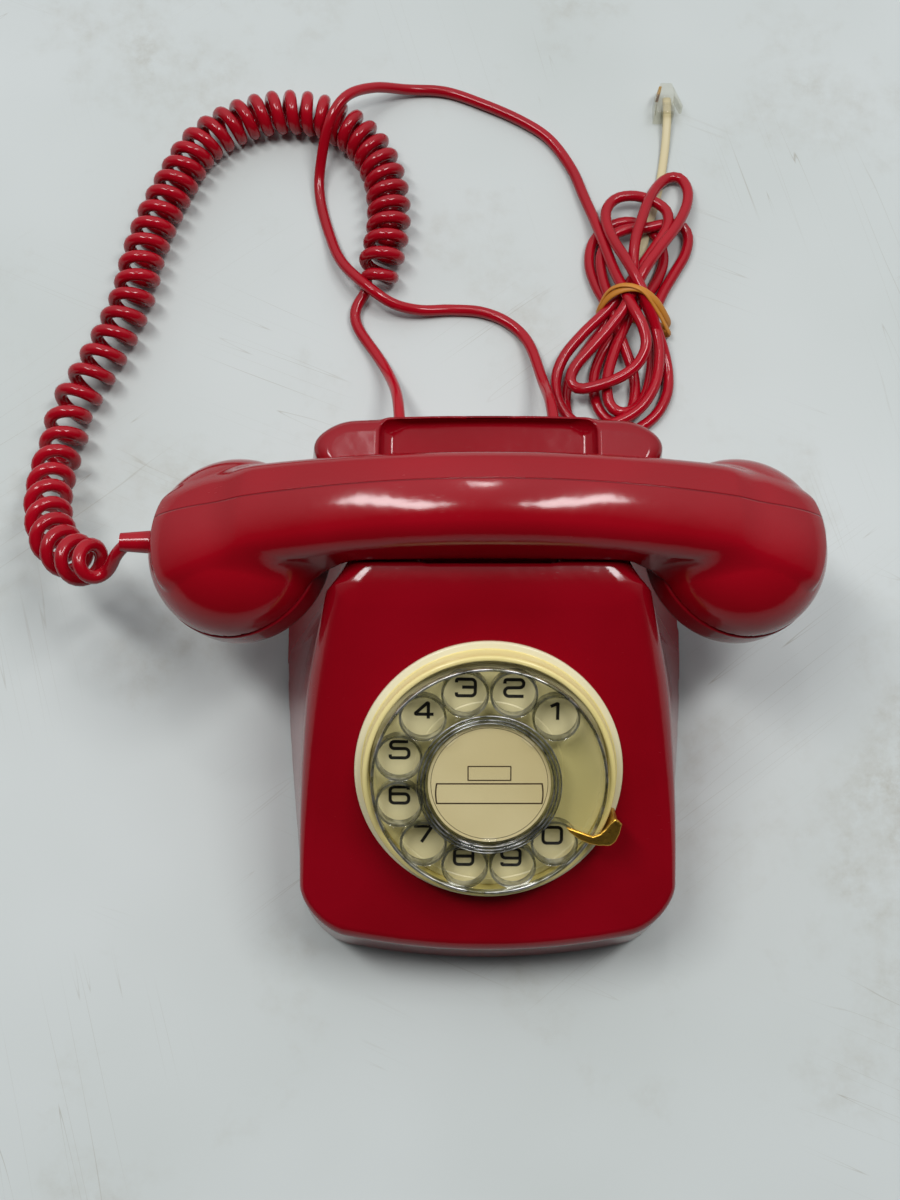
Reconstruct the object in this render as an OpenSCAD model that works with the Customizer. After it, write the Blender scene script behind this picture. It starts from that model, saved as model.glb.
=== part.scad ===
// Desk telephone with a rotary dial. Millimetres, +Z up, +X to the right, the front faces -Y.
// The origin is under the middle of the telephone, on the surface that it stands on.

/* [Case] */
// Depth of the case at its foot
body_d = 192; // [175:1:215]
// Width of the foot at the front
foot_front_w = 129; // [115:1:145]
// Width of the foot at the rear
foot_rear_w = 158; // [148:1:175]
// Width of the sloping face at its lower edge
face_low_w = 126; // [112:1:126]
// Width of the sloping face at its top edge
face_top_w = 90; // [82:1:94]
// Width of the cradle's waist, between the handset's caps
waist_w = 85; // [80:1:86]
// Height of the cradle's top
deck_h = 101; // [97:0.5:106]
// Height at which the sloping face meets the front wall
edge_h = 36; // [32:0.5:40]
// Slope of the face against the floor
face_slope = 30; // [28:0.5:31]
// Thickness of the moulding
wall = 2.6; // [2:0.1:3.2]
// Height of the foot rim above the floor
rim_h = 2; // [1.5:0.1:3]
// How far the rear wall leans in over the height of the cradle
rear_lean = 21; // [15:1:30]

/* [Cradle] */
// Width of the trough that the handset lies in, front to back
trough_d = 33; // [31:0.5:35]
// Depth of the trough under the cradle's top
trough_h = 3.3; // [2.5:0.1:4.5]
// Width of the carrying recess behind the handset
recess_w = 70; // [60:1:74]
// Depth of the carrying recess and of the finger channel under the grip
recess_h = 15; // [13:0.5:17]
// Radius in which the recess rises to its rear rim
recess_r = 30; // [28:0.5:34]
// Width of the finger channel under the grip
channel_w = 46; // [36:1:50]
// Diameter of a hook plunger
plunger_dia = 6; // [5:0.1:7]
// Travel of the hook plungers
plunger_lift = 5; // [3:0.5:6]

/* [Dial] */
// Distance of the dial's centre from the face's lower edge
dial_up = 65; // [60:0.5:68]
// Outer diameter of the bezel
bezel_dia = 90; // [88:0.5:96]
// Height of the bezel's raised rim
bezel_h = 8.5; // [7:0.5:10]
// Diameter of the finger wheel
wheel_dia = 78; // [76:0.5:79]
// Thickness of the finger wheel
wheel_t = 2; // [1.6:0.1:2.6]
// Height of the finger wheel's underside over the face
wheel_z = 11; // [10:0.1:13]
// Diameter of a finger hole
hole_dia = 14.1; // [12.5:0.1:14.5]
// Radius of the circle of finger holes
hole_r = 30.8; // [30.2:0.1:31.2]
// Diameter of the hub ring
hub_dia = 47; // [44:0.5:47]
// Diameter of the paper card
card_dia = 41; // [36:0.5:42]
// Diameter of the dial shaft
shaft_dia = 6; // [5:0.1:7]
// Teeth of the main gear
gear_teeth = 60; // [48:4:64]
// Teeth of the pulse gear
pinion_teeth = 15; // [12:1:18]
// Size of a gear tooth, pitch diameter over teeth
gear_module = 1; // [0.8:0.05:1.05]

/* [Handset] */
// Length of the handset
handset_l = 232; // [226:0.5:236]
// Diameter of the caps
cap_dia = 63.6; // [62:0.2:64]
// Height of a cap below its seam with the shell
cap_h = 20; // [17:0.5:22]
// Tilt of the caps, which face down and inwards
cap_tilt = 18; // [14:0.5:20]
// Height of the dome over a cap
dome_h = 24.5; // [22:0.5:26]
// Width of the grip at its middle
grip_w = 32; // [30:0.5:32]
// Height of the grip at its middle
grip_h = 28; // [25:0.5:31]
// Drop of the handset's back from its middle to the caps' centres
back_drop = 19; // [17:0.5:21]
// Height of the caps' seam circles, at their centres, below the grip's underside
mouth_drop = 20.2; // [18:0.2:22]
// How far the caps hang ahead of the grip
cap_ahead = 4.6; // [2:0.2:6]
// Diameter of the capsules behind the caps
capsule_dia = 46; // [40:0.5:48]

/* [Inside] */
// Thickness of the base plate
plate_t = 2; // [1.5:0.1:3]
// Diameter of the larger gong
gong_dia = 44; // [40:0.5:46]
// Diameter of the smaller gong
gong_small_dia = 42; // [38:0.5:44]
// Length of the circuit board
board_l = 84; // [70:1:90]
// Width of the circuit board
board_w = 40; // [34:1:42]

/* [Cords] */
// Diameter of the cords' round cable
cable_dia = 4.6; // [4:0.1:5]
// Outer diameter of the curly cord's coil
curl_dia = 16; // [15:0.5:17]
// Diameter of a cord boot in the rear wall
boot_dia = 6.4; // [6:0.1:8]
// Length of a cord boot outside the rear wall
boot_l = 13; // [10:0.5:14]
// Distance of the handset cord's exit from the middle
exit_left_x = 32; // [28:0.5:36]
// Distance of the line cord's exit from the middle
exit_right_x = 27; // [24:0.5:32]
// Height of the cords' exits
exit_z = 30; // [24:0.5:34]

/* [Hidden] */
$fn = 64;

red = "#a80f22";
cream = "#e9e4cf";
clear = [0.85, 0.9, 0.85, 0.5];
steel = "#9aa0a4";
brass = "#c9a24a";

// Small running gap between pieces that touch
gap = 0.3;

front_y = -body_d / 2;
rear_y = body_d / 2;
seat_y = front_y + 136;            // middle of the cradle and of the handset's grip
face_top_y = front_y + (deck_h - edge_h) / tan(face_slope);
trough_z = deck_h - trough_h;
recess_z = deck_h - recess_h;
cap_x = handset_l / 2 - cap_dia / 2 * cos(cap_tilt);
plunger_x = waist_w / 2 - 9.5;      // each hook plunger stands in its half of the trough

// ---------------------------------------------------------------- shared shapes

function lerp(a, b, s) = a + (b - a) * s;
function clamp(v, a, b) = max(a, min(b, v));
function smooth(v) = let (c = clamp(v, 0, 1)) c * c * (3 - 2 * c);
function soft_max(a, b, r) = (a + b + sqrt((a - b) * (a - b) + r * r)) / 2;

// Closed solid through rings of equally many points, each anticlockwise about the way from ring to ring.
module skin(rings) {
    n = len(rings[0]);
    m = len(rings);
    polyhedron(
        points = [for (ring = rings) for (p = ring) p],
        faces = concat(
            [[for (i = [0 : n - 1]) i]],
            [for (k = [0 : m - 2]) for (i = [0 : n - 1]) let (j = (i + 1) % n, low = k * n, high = low + n)
                for (f = [[low + i, high + j, low + j], [low + i, high + i, high + j]]) f],
            [[for (i = [n - 1 : -1 : 0]) (m - 1) * n + i]]),
        convexity = 10);
}

// Round tube swept along points; each ring is square to the route's own direction there.
function unit(v) = v / norm(v);
function ring_at(route, i, r, sides) = let (
    last = len(route) - 1,
    d = unit(route[min(i + 1, last)] - route[max(i - 1, 0)]),
    side = unit(cross(d, [0, 0, 1])),
    up = cross(side, d))
    [for (k = [0 : sides - 1]) let (a = 360 * k / sides) route[i] + r * (cos(a) * side - sin(a) * up)];

module tube(route, dia, sides) {
    skin([for (i = [0 : len(route) - 1]) ring_at(route, i, dia / 2, sides)]);
}

// Smooth curve through hand-chosen points, with a few rings between each two.
function between(a, b, c, d, s) = 0.5 * (2 * b + (c - a) * s + (2 * a - 5 * b + 4 * c - d) * s * s
    + (3 * b - a - 3 * c + d) * s * s * s);
function curve(p, steps) = let (last = len(p) - 1) concat(
    [for (i = [0 : last - 1]) for (k = [0 : steps - 1])
        between(p[max(i - 1, 0)], p[i], p[i + 1], p[min(i + 2, last)], k / steps)],
    [p[last]]);

// Moves its children to the dial's centre on the sloping face, their Z along the face's normal.
module on_face() {
    translate([0, front_y, edge_h]) rotate([face_slope, 0, 0]) translate([0, dial_up, 0]) children();
}

// ---------------------------------------------------------------- case

front_bulge = 4.5;     // the front edge stands forward in its middle
rear_bulge = 3;
foot_corner = 16;
face_corner = 7;
rear_corner = 24;
deck_round = 4;
edge_round = 3;

// Half width of the foot, of the top edge, and of the wall between them, at distance y behind the front edge.
function foot_half(y) = lerp(foot_front_w, foot_rear_w, sin(90 * clamp(y / body_d, 0, 1))) / 2;
face_l = face_top_y - front_y;
function top_half(y) = let (
    seat = seat_y - front_y,
    face = face_low_w / 2 - (face_low_w - face_top_w) / 2 * pow(clamp(y / face_l, 0, 1), 2.6),
    waist = waist_w / 2,
    ahead = waist + (face_top_w / 2 - waist) * pow((seat - y) / (seat - face_l), 2),
    behind = min(waist + 13 * pow((y - seat) / 25, 2), waist + 15))
    y < face_l ? face : y < seat ? ahead : behind;
function top_z(y) = min(deck_h, edge_h + y * tan(face_slope));
function flare(y) = lerp(1.15, 2.5, smooth((y - 80) / 54));
function half_w(y, z) = let (t = top_half(y), s = clamp(1 - z / top_z(y), 0, 1))
    t + max(0, foot_half(y) - t) * pow(s, flare(y));
function front_at(x, z, in) = soft_max(front_bulge * pow(x / (foot_front_w / 2 - foot_corner), 2) + in,
    (z - edge_h) / tan(face_slope) + in / sin(face_slope), edge_round);
function rear_at(x, z, in) = body_d - rear_lean * z / deck_h - rear_bulge * pow(x / (foot_rear_w / 2), 2) - in;

// One level of the case, drawn in by "in": anticlockwise from the middle of the rear.
function level(z, in) = let (
    y0 = front_at(0, z, in),
    y1 = rear_at(0, z, in),
    rf = max(1, lerp(foot_corner, face_corner, smooth((z - edge_h) / 25)) - in),
    rr = rear_corner - in,
    wf = half_w(y0 + rf, z) - in - rf,
    wr = half_w(y1 - rr, z) - in - rr,
    ya = rear_at(wr, z, in) - rr,
    yb = front_at(wf, z, in) + rf,
    left = concat(
        [for (a = [0.45, 1]) [-a * wr, rear_at(a * wr, z, in)]],
        [for (a = [15 : 15 : 90]) let (y = ya + rr * cos(a)) [-(half_w(y, z) - in - rr + rr * sin(a)), y]],
        [for (k = [1 : 11]) let (y = lerp(ya, yb, k / 12)) [-(half_w(y, z) - in), y]],
        [for (a = [90 : -15 : 0]) let (y = yb - rf * cos(a)) [-(half_w(y, z) - in - rf + rf * sin(a)), y]],
        [for (a = [0.66, 0.33]) [-a * wf, front_at(a * wf, z, in)]]),
    n = len(left))
    concat([[0, y1]], left, [[0, y0]], [for (i = [n - 1 : -1 : 0]) [-left[i][0], left[i][1]]]);

module case_form(in, z0, z1) {
    round = deck_round;
    levels = concat(
        [for (z = [z0, 8, 16, 25, 32, 35, 37, 40, 46, 54, 62, 70, 78, 85, 91]) [z, in]],
        [for (a = [0, 22, 45, 67, 90]) [z1 - round * (1 - sin(a)), in + round * (1 - cos(a))]]);
    skin([for (l = levels) [for (p = level(min(l[0], z1), l[1])) [p[0], p[1] + front_y, l[0]]]]);
}

// What the handset's grip lies in, as an outline in Y and Z, wider and deeper by "out", run along X.
module along_x(width) {
    translate([-width / 2, 0, 0]) rotate([90, 0, 90]) linear_extrude(width) children();
}

// Slot open at the top, with round lower corners: y from a to b, down to z.
function slot(a, b, z, r) = concat(
    [[b, deck_h + 9], [a, deck_h + 9]],
    [for (t = [180 : 15 : 270]) [a + r + r * cos(t), z + r + r * sin(t)]],
    [for (t = [270 : 15 : 360]) [b - r + r * cos(t), z + r + r * sin(t)]]);

recess_front = seat_y + trough_d / 2 - 2.5;
recess_edge = rear_y - rear_lean - 3.5;     // inner edge of the thin rim behind the recess
recess_corner = 10;
recess_rise = acos(1 - recess_h / recess_r);

// Side view of the carrying recess: a floor level with the channel's, then an arc up to the rear rim.
function recess_outline(out) = let (arc_y = recess_edge - recess_r * sin(recess_rise))
    concat([[recess_front - out, deck_h + 9], [recess_front - out, recess_z - out]],
        [for (a = [0 : recess_rise / 10 : recess_rise + 0.1])
            [max(recess_front - out + 0.1, arc_y + (recess_r + out) * sin(a)), recess_z + recess_r - (recess_r + out) * cos(a)]],
        [[arc_y + (recess_r + out) * sin(recess_rise), deck_h + 9]]);

// The recess from above: square corners under the grip, round ones at the rear.
module recess_plan(out) {
    half = recess_w / 2 + out;
    rear = recess_edge + (out > 0 ? 2 * wall : 0.1);
    translate([-half, recess_front - 2 * wall]) square([2 * half, rear - recess_corner - recess_front + 2 * wall]);
    translate([recess_corner - half, recess_front]) square([2 * (half - recess_corner), rear - recess_front]);
    for (s = [-1, 1]) translate([s * (half - recess_corner), rear - recess_corner]) circle(r = recess_corner);
}

module cradle_cuts(out) {
    along_x(2 * waist_w) polygon(slot(seat_y - trough_d / 2 - out, seat_y + trough_d / 2 + out, trough_z - out, 3));
    along_x(channel_w + 2 * out)
        polygon(slot(seat_y - trough_d / 2 - out, seat_y + trough_d / 2 + out, recess_z - out, 5));
    intersection() {
        along_x(recess_w + 2 * out) polygon(recess_outline(out));
        translate([0, 0, recess_z - 9]) linear_extrude(deck_h) recess_plan(out);
    }
}

screw_dia = 3.2;
boss_dia = 8;
screw_spots = [[-48, front_y + 21], [48, front_y + 21], [0, rear_y - 12]];
boss_tops = [edge_h + 9, edge_h + 9, exit_z];
plate_z = rim_h + 1;
plate_top = plate_z + plate_t;
dial_hole_r = wheel_dia / 2 - 1;

module exits() {
    for (s = [[-exit_left_x, boot_dia], [exit_right_x, boot_dia]])
        translate([s[0], rear_y, exit_z]) rotate([90, 0, 0]) cylinder(h = 40, d = s[1] + 2 * 0.1, center = true);
}

module case() {
    color(red) {
        difference() {
            case_form(0, rim_h, deck_h);
            difference() {
                case_form(wall, rim_h - 1, deck_h - wall);
                cradle_cuts(wall);
            }
            cradle_cuts(0);
            on_face() cylinder(h = 30, r = dial_hole_r, center = true);
            for (s = [-1, 1]) translate([s * plunger_x, seat_y, trough_z - 20])
                cylinder(h = 40, d = plunger_dia + 2 * gap);
            exits();
        }
        for (i = [0 : 2]) translate([screw_spots[i][0], screw_spots[i][1], plate_top]) difference() {
            cylinder(h = boss_tops[i] - plate_top, d = boss_dia);
            translate([0, 0, -1]) cylinder(h = 13, d = screw_dia + 0.2);
        }
    }
}

// ---------------------------------------------------------------- underside

foot_dia = 14;
foot_spots = [[-46, front_y + 38], [46, front_y + 38], [-56, rear_y - 32], [56, rear_y - 32]];
board_z = plate_top + 5;
board_y = front_y + 24;

module base_plate() {
    color(steel) {
        difference() {
            translate([0, front_y, plate_z]) linear_extrude(plate_t) polygon(level(plate_top + 1, wall + gap));
            for (s = screw_spots) translate([s[0], s[1], 0]) cylinder(h = 20, d = screw_dia + 0.2);
        }
        for (x = [-1, 1], y = [4, board_w - 4]) translate([x * (board_l / 2 - 4), board_y + y, plate_top])
            cylinder(h = board_z - plate_top, d = 6);
    }
}

module rubber_feet() {
    color("#2a2a2a") for (s = foot_spots) translate([s[0], s[1], 0]) difference() {
        cylinder(h = plate_z, d1 = foot_dia - 1, d2 = foot_dia);
        translate([0, 0, -1]) cylinder(h = 2.2, d = foot_dia / 3);
    }
}

module screw(head_dia, head_h, dia, length) {
    difference() {
        union() {
            translate([0, 0, -head_h]) cylinder(h = head_h, d = head_dia);
            cylinder(h = length, d = dia);
        }
        translate([-head_dia, -0.5, -head_h - 1]) cube([2 * head_dia, 1, 1.7]);
    }
}

module case_screws() {
    color(steel) for (s = screw_spots) translate([s[0], s[1], plate_z]) screw(6.4, 1.8, screw_dia, 12);
}

module circuit_board() {
    color("#8a7a4a") translate([-board_l / 2, board_y, board_z]) cube([board_l, board_w, 1.6]);
}

module induction_coil() {
    color("#5b4a3a") translate([-30, board_y + 10, board_z + 1.6]) {
        cube([24, 6, 18]);
        translate([0, 14, 0]) cube([24, 6, 18]);
        translate([5, 6, 2]) cube([14, 8, 14]);
    }
}

module capacitor() {
    color("#c8b070") translate([4, board_y + 14, board_z + 1.6 + 7]) rotate([0, 90, 0]) cylinder(h = 28, d = 14);
}

terminal_w = 12;
terminal_y = (seat_y + 7 + screw_spots[2][1] - boss_dia / 2 - terminal_w) / 2;  // between hook frame and rear boss

module terminal_block() {
    color("#d8d2c0") translate([-22, terminal_y, plate_top]) difference() {
        cube([44, terminal_w, 11]);
        for (i = [0 : 4]) translate([4 + i * 9, 6, 5]) cylinder(h = 10, d = 4.5);
    }
}

// ---------------------------------------------------------------- ringer

gong_y = front_y + 100;
gong_x = gong_dia / 2 + 4;
gong_small_x = gong_small_dia / 2 + 5;
gong_z = 32;
gong_h = 12;
gong_t = 1.5;
post_dia = 6;
pin_y = gong_y - 30;
clapper_z = gong_z + 3;
clapper_x = 0.5;

module gong(dia) {
    rotate_extrude() difference() {
        polygon([[post_dia / 2, gong_h], [dia / 2 - 5, gong_h], [dia / 2 - 1.5, gong_h - 3], [dia / 2, 0],
            [dia / 2 - gong_t, 0], [dia / 2 - 1.5 - gong_t, gong_h - 3.6], [dia / 2 - 5.6, gong_h - gong_t],
            [post_dia / 2, gong_h - gong_t]]);
    }
}

module gong_large() {
    color(steel) translate([-gong_x, gong_y, gong_z]) gong(gong_dia);
}

module gong_small() {
    color(steel) translate([gong_small_x, gong_y, gong_z]) gong(gong_small_dia);
}

module gong_posts() {
    color(steel) for (x = [-gong_x, gong_small_x]) translate([x, gong_y, plate_top]) {
        cylinder(h = gong_z + gong_h - plate_top, d = post_dia);
        translate([0, 0, gong_z + gong_h - gong_t - plate_top - 3]) cylinder(h = 3, d = post_dia + 4);
        translate([0, 0, gong_z + gong_h - plate_top]) cylinder(h = 2, d = post_dia + 3);
        cylinder(h = 2, d = post_dia + 8);
    }
}

module ringer_bracket() {
    color(steel) translate([0, 0, plate_top]) {
        translate([-9, pin_y - 5, 0]) cube([18, 30, 2]);
        translate([clapper_x, pin_y, 2]) cylinder(h = clapper_z - plate_top - 2.3, d = 5);
        translate([clapper_x, pin_y, 2]) cylinder(h = clapper_z - plate_top + 3, d = 3);
    }
}

module ringer_coil() {
    color("#7a3b22") translate([-14, pin_y + 7, plate_top + 2]) {
        cube([28, 12, 4]);
        for (x = [7, 21]) translate([x, 6, 4]) cylinder(h = 16, d = 11);
    }
}

module clapper() {
    color(brass) translate([clapper_x, pin_y, clapper_z]) {
        difference() {
            union() {
                cylinder(h = 3, d = 8);
                translate([-1.5, 3, 0.5]) cube([3, 25, 2]);
            }
            translate([0, 0, -1]) cylinder(h = 6, d = 3.4);
        }
        translate([0, 30, 1.5]) sphere(d = 6);
    }
}

// ---------------------------------------------------------------- hook switch

bar_top = recess_z - wall - plunger_lift - 3;
bar_h = 6;
frame_x = plunger_x + plunger_dia / 2 + 1;

module plunger(x) {
    color("#d8d2c0") translate([x, seat_y, bar_top]) {
        cylinder(h = trough_z - bar_top - 1, d = plunger_dia);
        translate([0, 0, trough_z - bar_top - 1]) cylinder(h = 1, d1 = plunger_dia, d2 = plunger_dia - 1.6);
    }
}

module hook_plunger_left() { plunger(-plunger_x); }

module hook_plunger_right() { plunger(plunger_x); }

module hook_bar() {
    color(steel) translate([-plunger_x - 3, seat_y - 4, bar_top - bar_h]) cube([2 * plunger_x + 6, 8, bar_h]);
}

module hook_frame() {
    guide_z = recess_z;
    color(steel) {
        translate([-frame_x - 2.2, seat_y - 7, plate_top]) cube([2 * frame_x + 4.4, 14, 2]);
        for (s = [-1, 1]) {
            translate([s > 0 ? frame_x : -frame_x - 2.2, seat_y - 7, plate_top]) cube([2.2, 14, guide_z + 2 - plate_top]);
            difference() {
                translate([s > 0 ? plunger_x - 5 : -frame_x, seat_y - 7, guide_z])
                    cube([frame_x - plunger_x + 5, 14, 2]);
                translate([s * plunger_x, seat_y, guide_z - 1]) cylinder(h = 4, d = plunger_dia + 2 * gap);
            }
        }
    }
}

module hook_contacts() {
    leaf_z = bar_top - bar_h - 7;
    color("#c9a24a") {
        translate([-6, seat_y - 4, plate_top + 2]) cube([12, 8, leaf_z - plate_top]);
        for (i = [0 : 2]) translate([-6, seat_y - 3, leaf_z + 2 * i]) cube([30, 6, 0.6]);
        translate([-6, seat_y - 3, leaf_z]) cube([8, 6, 5]);
    }
}

// ---------------------------------------------------------------- dial

bowl_r = wheel_dia / 2 + 1;
bowl_z = 2.2;
plate_ring_t = 1;
flange_w = 2.4;
wheel_top = wheel_z + wheel_t;
hub_h = 2.4;
chassis_r = 34;
chassis_z = -6;
chassis_t = 1.5;
gear_z = chassis_z - 4.2;
gear_t = 2;
pitch_r = gear_teeth * gear_module / 2;
pinion_pitch_r = pinion_teeth * gear_module / 2;
gears_apart = pitch_r + pinion_pitch_r;
chassis_spots = [30, 150, 270];

module dial_bezel() {
    color(cream) on_face() rotate_extrude($fn = 96) polygon([
        [14, bowl_z - 1.4], [14, bowl_z], [bowl_r, bowl_z], [bowl_r, bezel_h - 0.8], [bowl_r + 0.7, bezel_h],
        [bezel_dia / 2 - flange_w - 1, bezel_h], [bezel_dia / 2 - flange_w, bezel_h - 1],
        [bezel_dia / 2 - flange_w, bowl_z], [bezel_dia / 2 - 0.7, bowl_z], [bezel_dia / 2, bowl_z - 0.7],
        [bezel_dia / 2, 0], [dial_hole_r - gap, 0], [dial_hole_r - gap, -1.5], [dial_hole_r - 2, -1.5],
        [dial_hole_r - 2, bowl_z - 1.4]]);
}

module number_plate() {
    color("#cfc9a0") on_face() rotate_extrude($fn = 96) translate([15, bowl_z])
        square([bowl_r - 0.2 - 15, plate_ring_t]);
}

// Bent blade: a curved leg up from the bezel's flange, and a claw over the wheel that ends between two holes.
stop_z = wheel_top + 1.2;
stop_t = 1.2;
leg_in = bezel_dia / 2 - flange_w + 0.2;
leg_t = 1.2;
claw_l = bezel_dia / 2 - 17.5;

module finger_stop() {
    rim = leg_in + leg_t + 0.4;
    color(brass) on_face() rotate([0, 0, -28]) {
        rotate([0, 0, 1]) rotate_extrude(angle = 11) translate([leg_in, bowl_z]) square([leg_t, stop_z + 0.5 - bowl_z]);
        translate([0, 0, stop_z]) linear_extrude(stop_t) polygon(concat(
            [[claw_l, -0.7], [claw_l - 0.4, 0], [claw_l, 0.7]],
            [for (t = [0 : 0.2 : 1]) [lerp(claw_l + 4, leg_in - 1, t), 1.6 + 9 * t * t]],
            [for (a = [13.5 : -2.7 : 0]) [rim * cos(a), rim * sin(a)]],
            [for (t = [1 : -0.25 : 0]) [lerp(claw_l + 3, leg_in - 1, t), -1.6 + 1.3 * t * t]]));
    }
}

module dial_chassis() {
    color(steel) on_face() difference() {
        union() {
            translate([0, 0, chassis_z]) cylinder(h = chassis_t, r = chassis_r);
            translate([-9, -gears_apart - 6, chassis_z]) cube([32, gears_apart, chassis_t]);
            for (a = chassis_spots) rotate([0, 0, a]) translate([chassis_r - 6, 0, chassis_z])
                cylinder(h = bowl_z - 1.4 - chassis_z, d = 7);
            translate([0, -gears_apart, gear_z - 1]) cylinder(h = chassis_z - gear_z + 1, d = 3);
            translate([0, -gears_apart, gear_z + gear_t + gap]) cylinder(h = chassis_z - gear_z - gear_t - gap, d = 6);
        }
        translate([0, 0, chassis_z - 1]) cylinder(h = 4, d = shaft_dia + 0.4);
        for (a = chassis_spots) rotate([0, 0, a]) translate([chassis_r - 6, 0, chassis_z - 1])
            cylinder(h = 7.5, d = 2.7);
    }
}

module dial_screws() {
    color(steel) on_face() for (a = chassis_spots) rotate([0, 0, a]) translate([chassis_r - 6, 0, chassis_z])
        screw(5, 1.6, 2.5, 6);
}

module finger_wheel() {
    color(clear) on_face() difference() {
        rotate_extrude($fn = 96) polygon([[0, wheel_z], [wheel_dia / 2 - 0.6, wheel_z], [wheel_dia / 2, wheel_z + 0.6],
            [wheel_dia / 2, wheel_top - 0.6], [wheel_dia / 2 - 0.6, wheel_top], [0, wheel_top]]);
        for (i = [0 : 9]) rotate([0, 0, 45 + 30 * i]) translate([hole_r, 0, wheel_z - 1])
            cylinder(h = wheel_t + 2, d = hole_dia);
    }
}

module hub_ring() {
    color("#b9bdb6") on_face() rotate_extrude($fn = 96) polygon([
        [card_dia / 2 + 0.4, wheel_top], [hub_dia / 2, wheel_top], [hub_dia / 2, wheel_top + hub_h - 0.8],
        [hub_dia / 2 - 0.8, wheel_top + hub_h], [card_dia / 2 + 1, wheel_top + hub_h],
        [card_dia / 2 + 0.4, wheel_top + hub_h - 0.6]]);
}

card_t = 0.4;

module number_card() {
    color("#e6dcc0") on_face() translate([0, 0, wheel_top]) cylinder(h = card_t, d = card_dia);
}

module card_cover() {
    cover_z = wheel_top + card_t;
    color(clear) on_face() {
        rotate_extrude($fn = 96) polygon([[0, cover_z], [card_dia / 2 + 0.2, cover_z],
            [card_dia / 2 + 0.2, cover_z + 0.8], [card_dia / 2 - 1.4, cover_z + 1.2], [0, cover_z + 1.2]]);
        for (a = [50, 130, 270]) rotate([0, 0, a]) translate([card_dia / 2 - 2, -2.5, wheel_top + hub_h])
            cube([hub_dia / 2 - card_dia / 2 + 0.8, 5, 0.8]);
        for (a = [50, 130, 270]) rotate([0, 0, a]) translate([card_dia / 2 - 2, -2.5, cover_z + 0.6])
            cube([2.2, 5, wheel_top + hub_h - cover_z]);
    }
}

module dial_shaft() {
    color(steel) on_face() {
        translate([0, 0, gear_z - 2]) cylinder(h = wheel_z - gear_z + 2, d = shaft_dia);
        translate([0, 0, wheel_z - 3]) cylinder(h = 3, d = 20);
        translate([0, 0, gear_z - 2]) cylinder(h = 2, d = shaft_dia + 4);
    }
}

// Outline of a gear with straight-sided teeth, thin enough to mesh freely, its first tooth on +X.
function gear_outline(teeth) = let (r = teeth * gear_module / 2, pitch = 360 / teeth)
    [for (i = [0 : teeth - 1]) for (p = [[-0.3, -1.15], [-0.12, 0.85], [0.12, 0.85], [0.3, -1.15]])
        let (a = (i + p[0]) * pitch, q = r + p[1] * gear_module) [q * cos(a), q * sin(a)]];

module main_gear() {
    color(brass) on_face() translate([0, 0, gear_z]) difference() {
        linear_extrude(gear_t) polygon(gear_outline(gear_teeth));
        translate([0, 0, -1]) cylinder(h = 4, d = shaft_dia);
        for (i = [0 : 4]) rotate([0, 0, 36 + 72 * i]) translate([pitch_r * 0.6, 0, -1]) cylinder(h = 4, r = pitch_r * 0.22);
    }
}

module return_spring() {
    color("#4a4f55") on_face() translate([0, 0, chassis_z + chassis_t]) difference() {
        cylinder(h = 4, r = 12);
        translate([0, 0, -1]) cylinder(h = 6, r = shaft_dia / 2 + 1.5);
    }
}

// The pulse gear stands below the main gear; half a tooth's turn puts its tooth into the other's gap.
module pulse_gear() {
    color(cream) on_face() translate([0, -gears_apart, gear_z]) difference() {
        rotate([0, 0, 90 + (gear_teeth % 4 == 0 ? 180 / pinion_teeth : 0)])
            linear_extrude(gear_t) polygon(gear_outline(pinion_teeth));
        translate([0, 0, -1]) cylinder(h = 4, d = 3.4);
    }
}

module pulse_contacts() {
    color("#7d5a2c") on_face() translate([14, -gears_apart - 4, chassis_z]) {
        translate([0, 0, -8]) cube([8, 8, 8]);
        for (i = [0 : 2]) translate([-4, 7.2, -7 + 2 * i]) cube([12, 0.6, 1.2]);
    }
}

// ---------------------------------------------------------------- handset

grip_z = trough_z + gap;                 // underside of the grip
mouth_z = grip_z - mouth_drop;           // middle of the circle in which a cap meets the shell
back_z = grip_z + grip_h;
mouth_r = cap_dia / 2 - 0.8;
cap_y = seat_y - cap_ahead;
end_x = handset_l / 2;
end_run = 26;                            // length in which the back rolls over to each end
neck_x = cap_x - mouth_r * cos(cap_tilt); // inner edge of a cap's seam
neck_start = 6.5;                        // the grip's underside turns down this far before it

function mouth_at(x) = mouth_z + (cap_x - abs(x)) * tan(cap_tilt);
function back_at(x) = back_z - back_drop * pow(x / cap_x, 2);
function grip_half(x) = min(grip_w / 2 + 2 * pow(x / cap_x, 2),
    0.92 * sqrt(max(16, pow(mouth_r, 2) - pow((abs(x) - cap_x) / cos(cap_tilt), 2) * (abs(x) > cap_x ? 1 : 0))));
function grip_y(x) = seat_y - cap_ahead * smooth((abs(x) - cap_x + 6) / 30);
function grip_top(x) = let (over = clamp((abs(x) - end_x + end_run) / end_run, 0, 0.985))
    lerp(mouth_at(x), back_at(x), pow(1 - pow(over, 2.5), 0.4));
function grip_low(x) = grip_z - (grip_z - mouth_at(max(abs(x), neck_x)) + 2) * smooth((abs(x) - neck_x + neck_start) / (neck_start + 3));

// Cross-section of the grip at x: upright sides under a soft arch.
function sgn_pow(v, e) = sign(v) * pow(abs(v), e);
function grip_ring(x) = let (top = grip_top(x), low = grip_low(x), mid = lerp(low, top, 0.38))
    [for (k = [0 : 31]) let (a = 360 * k / 32, e = sin(a) < 0 ? 0.42 : 0.82)
        [x, grip_y(x) + grip_half(x) * sgn_pow(cos(a), e),
            mid + (sin(a) < 0 ? mid - low : top - mid) * sgn_pow(sin(a), e)]];

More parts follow.
